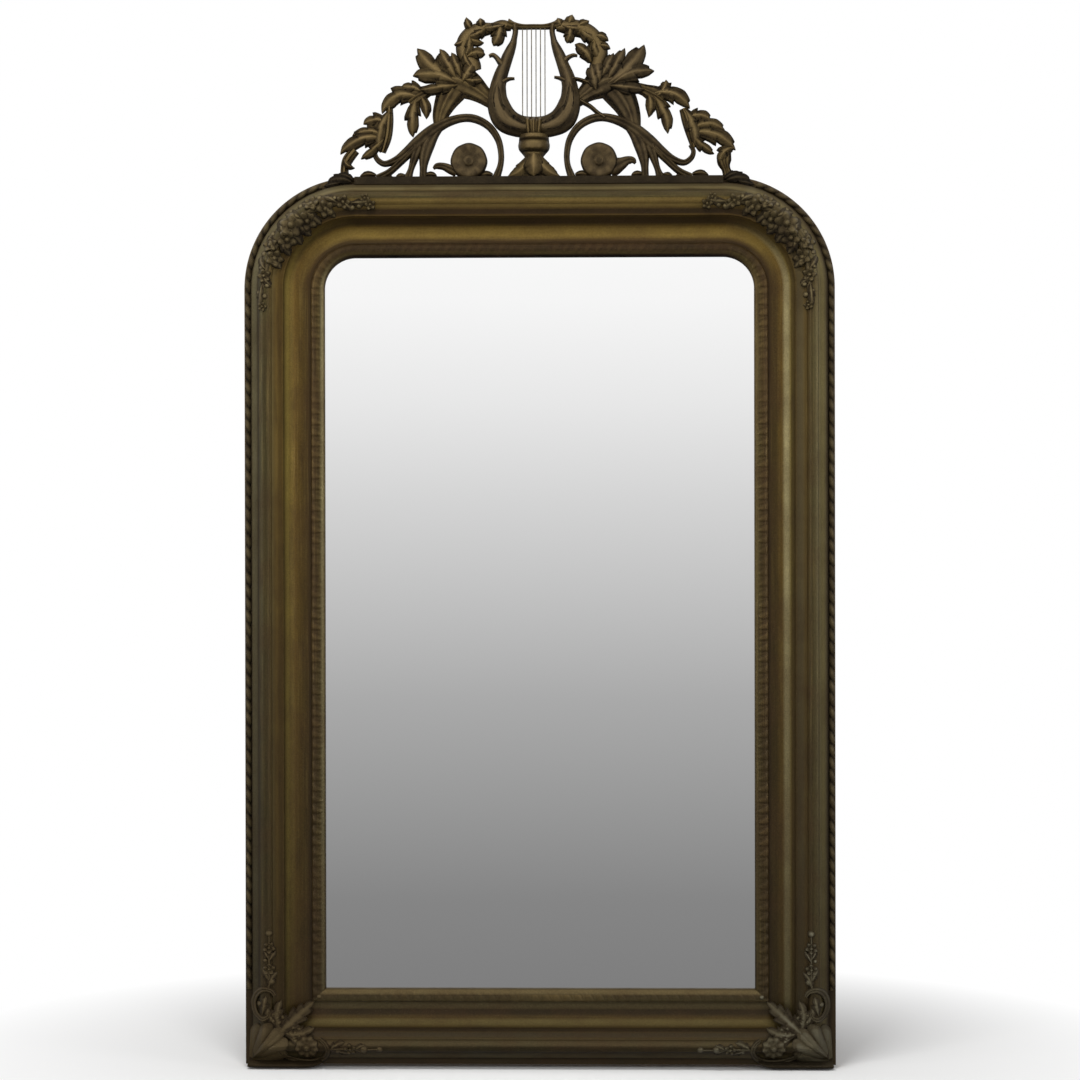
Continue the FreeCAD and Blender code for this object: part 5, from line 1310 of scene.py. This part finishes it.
cameraView = {"place": (0.0977, -4.5328, 0.8554), "yaw": -0.0215, "pitch": -0.0035, "roll": -0.0017,
              "focal": 2810.2, "image": 1080.0, "sensor": 36.0, "farthest": 100.0}
white = (1.0, 1.0, 1.0, 1.0)


def mixShader(tree, share, first, second):
    return addNode(tree, "ShaderNodeMixShader", {0: share, 1: first, 2: second}).outputs[0]


def background(tree, colour, strength):
    return addNode(tree, "ShaderNodeBackground", {"Color": colour, "Strength": strength}).outputs[0]


def rayKinds(tree):
    # Rays from the camera, and rays that come off a mirror or through glass.
    path = addNode(tree, "ShaderNodeLightPath").outputs
    reflected = mathNode(tree, "MAXIMUM", path["Is Glossy Ray"], path["Is Transmission Ray"])
    return path["Is Camera Ray"], reflected


def addFloor():
    half, level = studio["floorHalf"], studio["floorLevel"]
    mesh = bpy.data.meshes.new("floor")
    mesh.from_pydata([(-half, -half, level), (half, -half, level), (half, half, level), (-half, half, level)],
                     [], [(0, 1, 2, 3)])
    floor = linkObject("floor", mesh)
    material, tree = newMaterial("paleFloor")
    far = addNode(tree, "ShaderNodeVectorMath", {0: objectPlace(tree)}, operation="LENGTH").outputs["Value"]
    matt = addNode(tree, "ShaderNodeBsdfDiffuse", {"Color": studio["floorTone"]}).outputs[0]
    bright = addNode(tree, "ShaderNodeEmission", {"Strength": 1.0}).outputs[0]
    clear = addNode(tree, "ShaderNodeBsdfTransparent").outputs[0]
    direct, reflected = rayKinds(tree)
    seen = mixShader(tree, times(tree, spread(tree, far, *studio["floorFade"]), direct), matt, bright)
    addNode(tree, "ShaderNodeOutputMaterial", {"Surface": mixShader(tree, reflected, seen, clear)})
    mesh.materials.append(material)


def addSky():
    world = bpy.data.worlds.new("studio")
    bpy.context.scene.world = world
    tree = emptyTree(world)
    place = addNode(tree, "ShaderNodeTexCoord").outputs["Generated"]
    rise = addNode(tree, "ShaderNodeSeparateXYZ", {0: place}).outputs["Z"]
    low, high = studio["room"][0][0], studio["room"][-1][0]
    stops = [((sine - low) / (high - low), (tone, tone, tone, 1.0)) for sine, tone in studio["room"]]
    room = background(tree, toneRamp(tree, spread(tree, rise, low, high), stops), 1.0)
    direct, reflected = rayKinds(tree)
    lit = mixShader(tree, reflected, background(tree, white, studio["ambient"]), room)
    seen = mixShader(tree, direct, lit, background(tree, white, 1.0))
    addNode(tree, "ShaderNodeOutputWorld", {"Surface": seen})


def addLamps():
    for name, (power, place, size) in studio["lamps"].items():
        light = bpy.data.lights.new(name, "AREA")
        light.shape = "RECTANGLE"
        light.size, light.size_y = size
        light.energy = power
        lamp = linkObject(name, light)
        lamp.location = place
        lamp.visible_glossy = name in studio["sheen"]
        lamp.rotation_euler = (Vector(studio["aim"]) - Vector(place)).to_track_quat("-Z", "Y").to_euler()


def addCamera():
    # Camera that was fitted to points of the frame in the photograph.
    yaw, pitch, roll = cameraView["yaw"], cameraView["pitch"], cameraView["roll"]
    ahead = Vector((math.sin(yaw) * math.cos(pitch), math.cos(yaw) * math.cos(pitch), math.sin(pitch)))
    right = Vector((math.cos(yaw), -math.sin(yaw), 0.0))
    above = right.cross(ahead)
    turnedRight = right * math.cos(roll) + above * math.sin(roll)
    turnedUp = above * math.cos(roll) - right * math.sin(roll)
    lens = bpy.data.cameras.new("camera")
    lens.sensor_width = cameraView["sensor"]
    lens.lens = cameraView["focal"] / cameraView["image"] * lens.sensor_width
    lens.clip_end = cameraView["farthest"]
    camera = linkObject("camera", lens)
    turn = Matrix((turnedRight, turnedUp, -ahead)).transposed().to_4x4()
    camera.matrix_world = Matrix.Translation(cameraView["place"]) @ turn
    bpy.context.scene.camera = camera


addFloor()
addSky()
addLamps()
addCamera()
bpy.context.scene.view_settings.view_transform = "Standard"
print("stage ready")
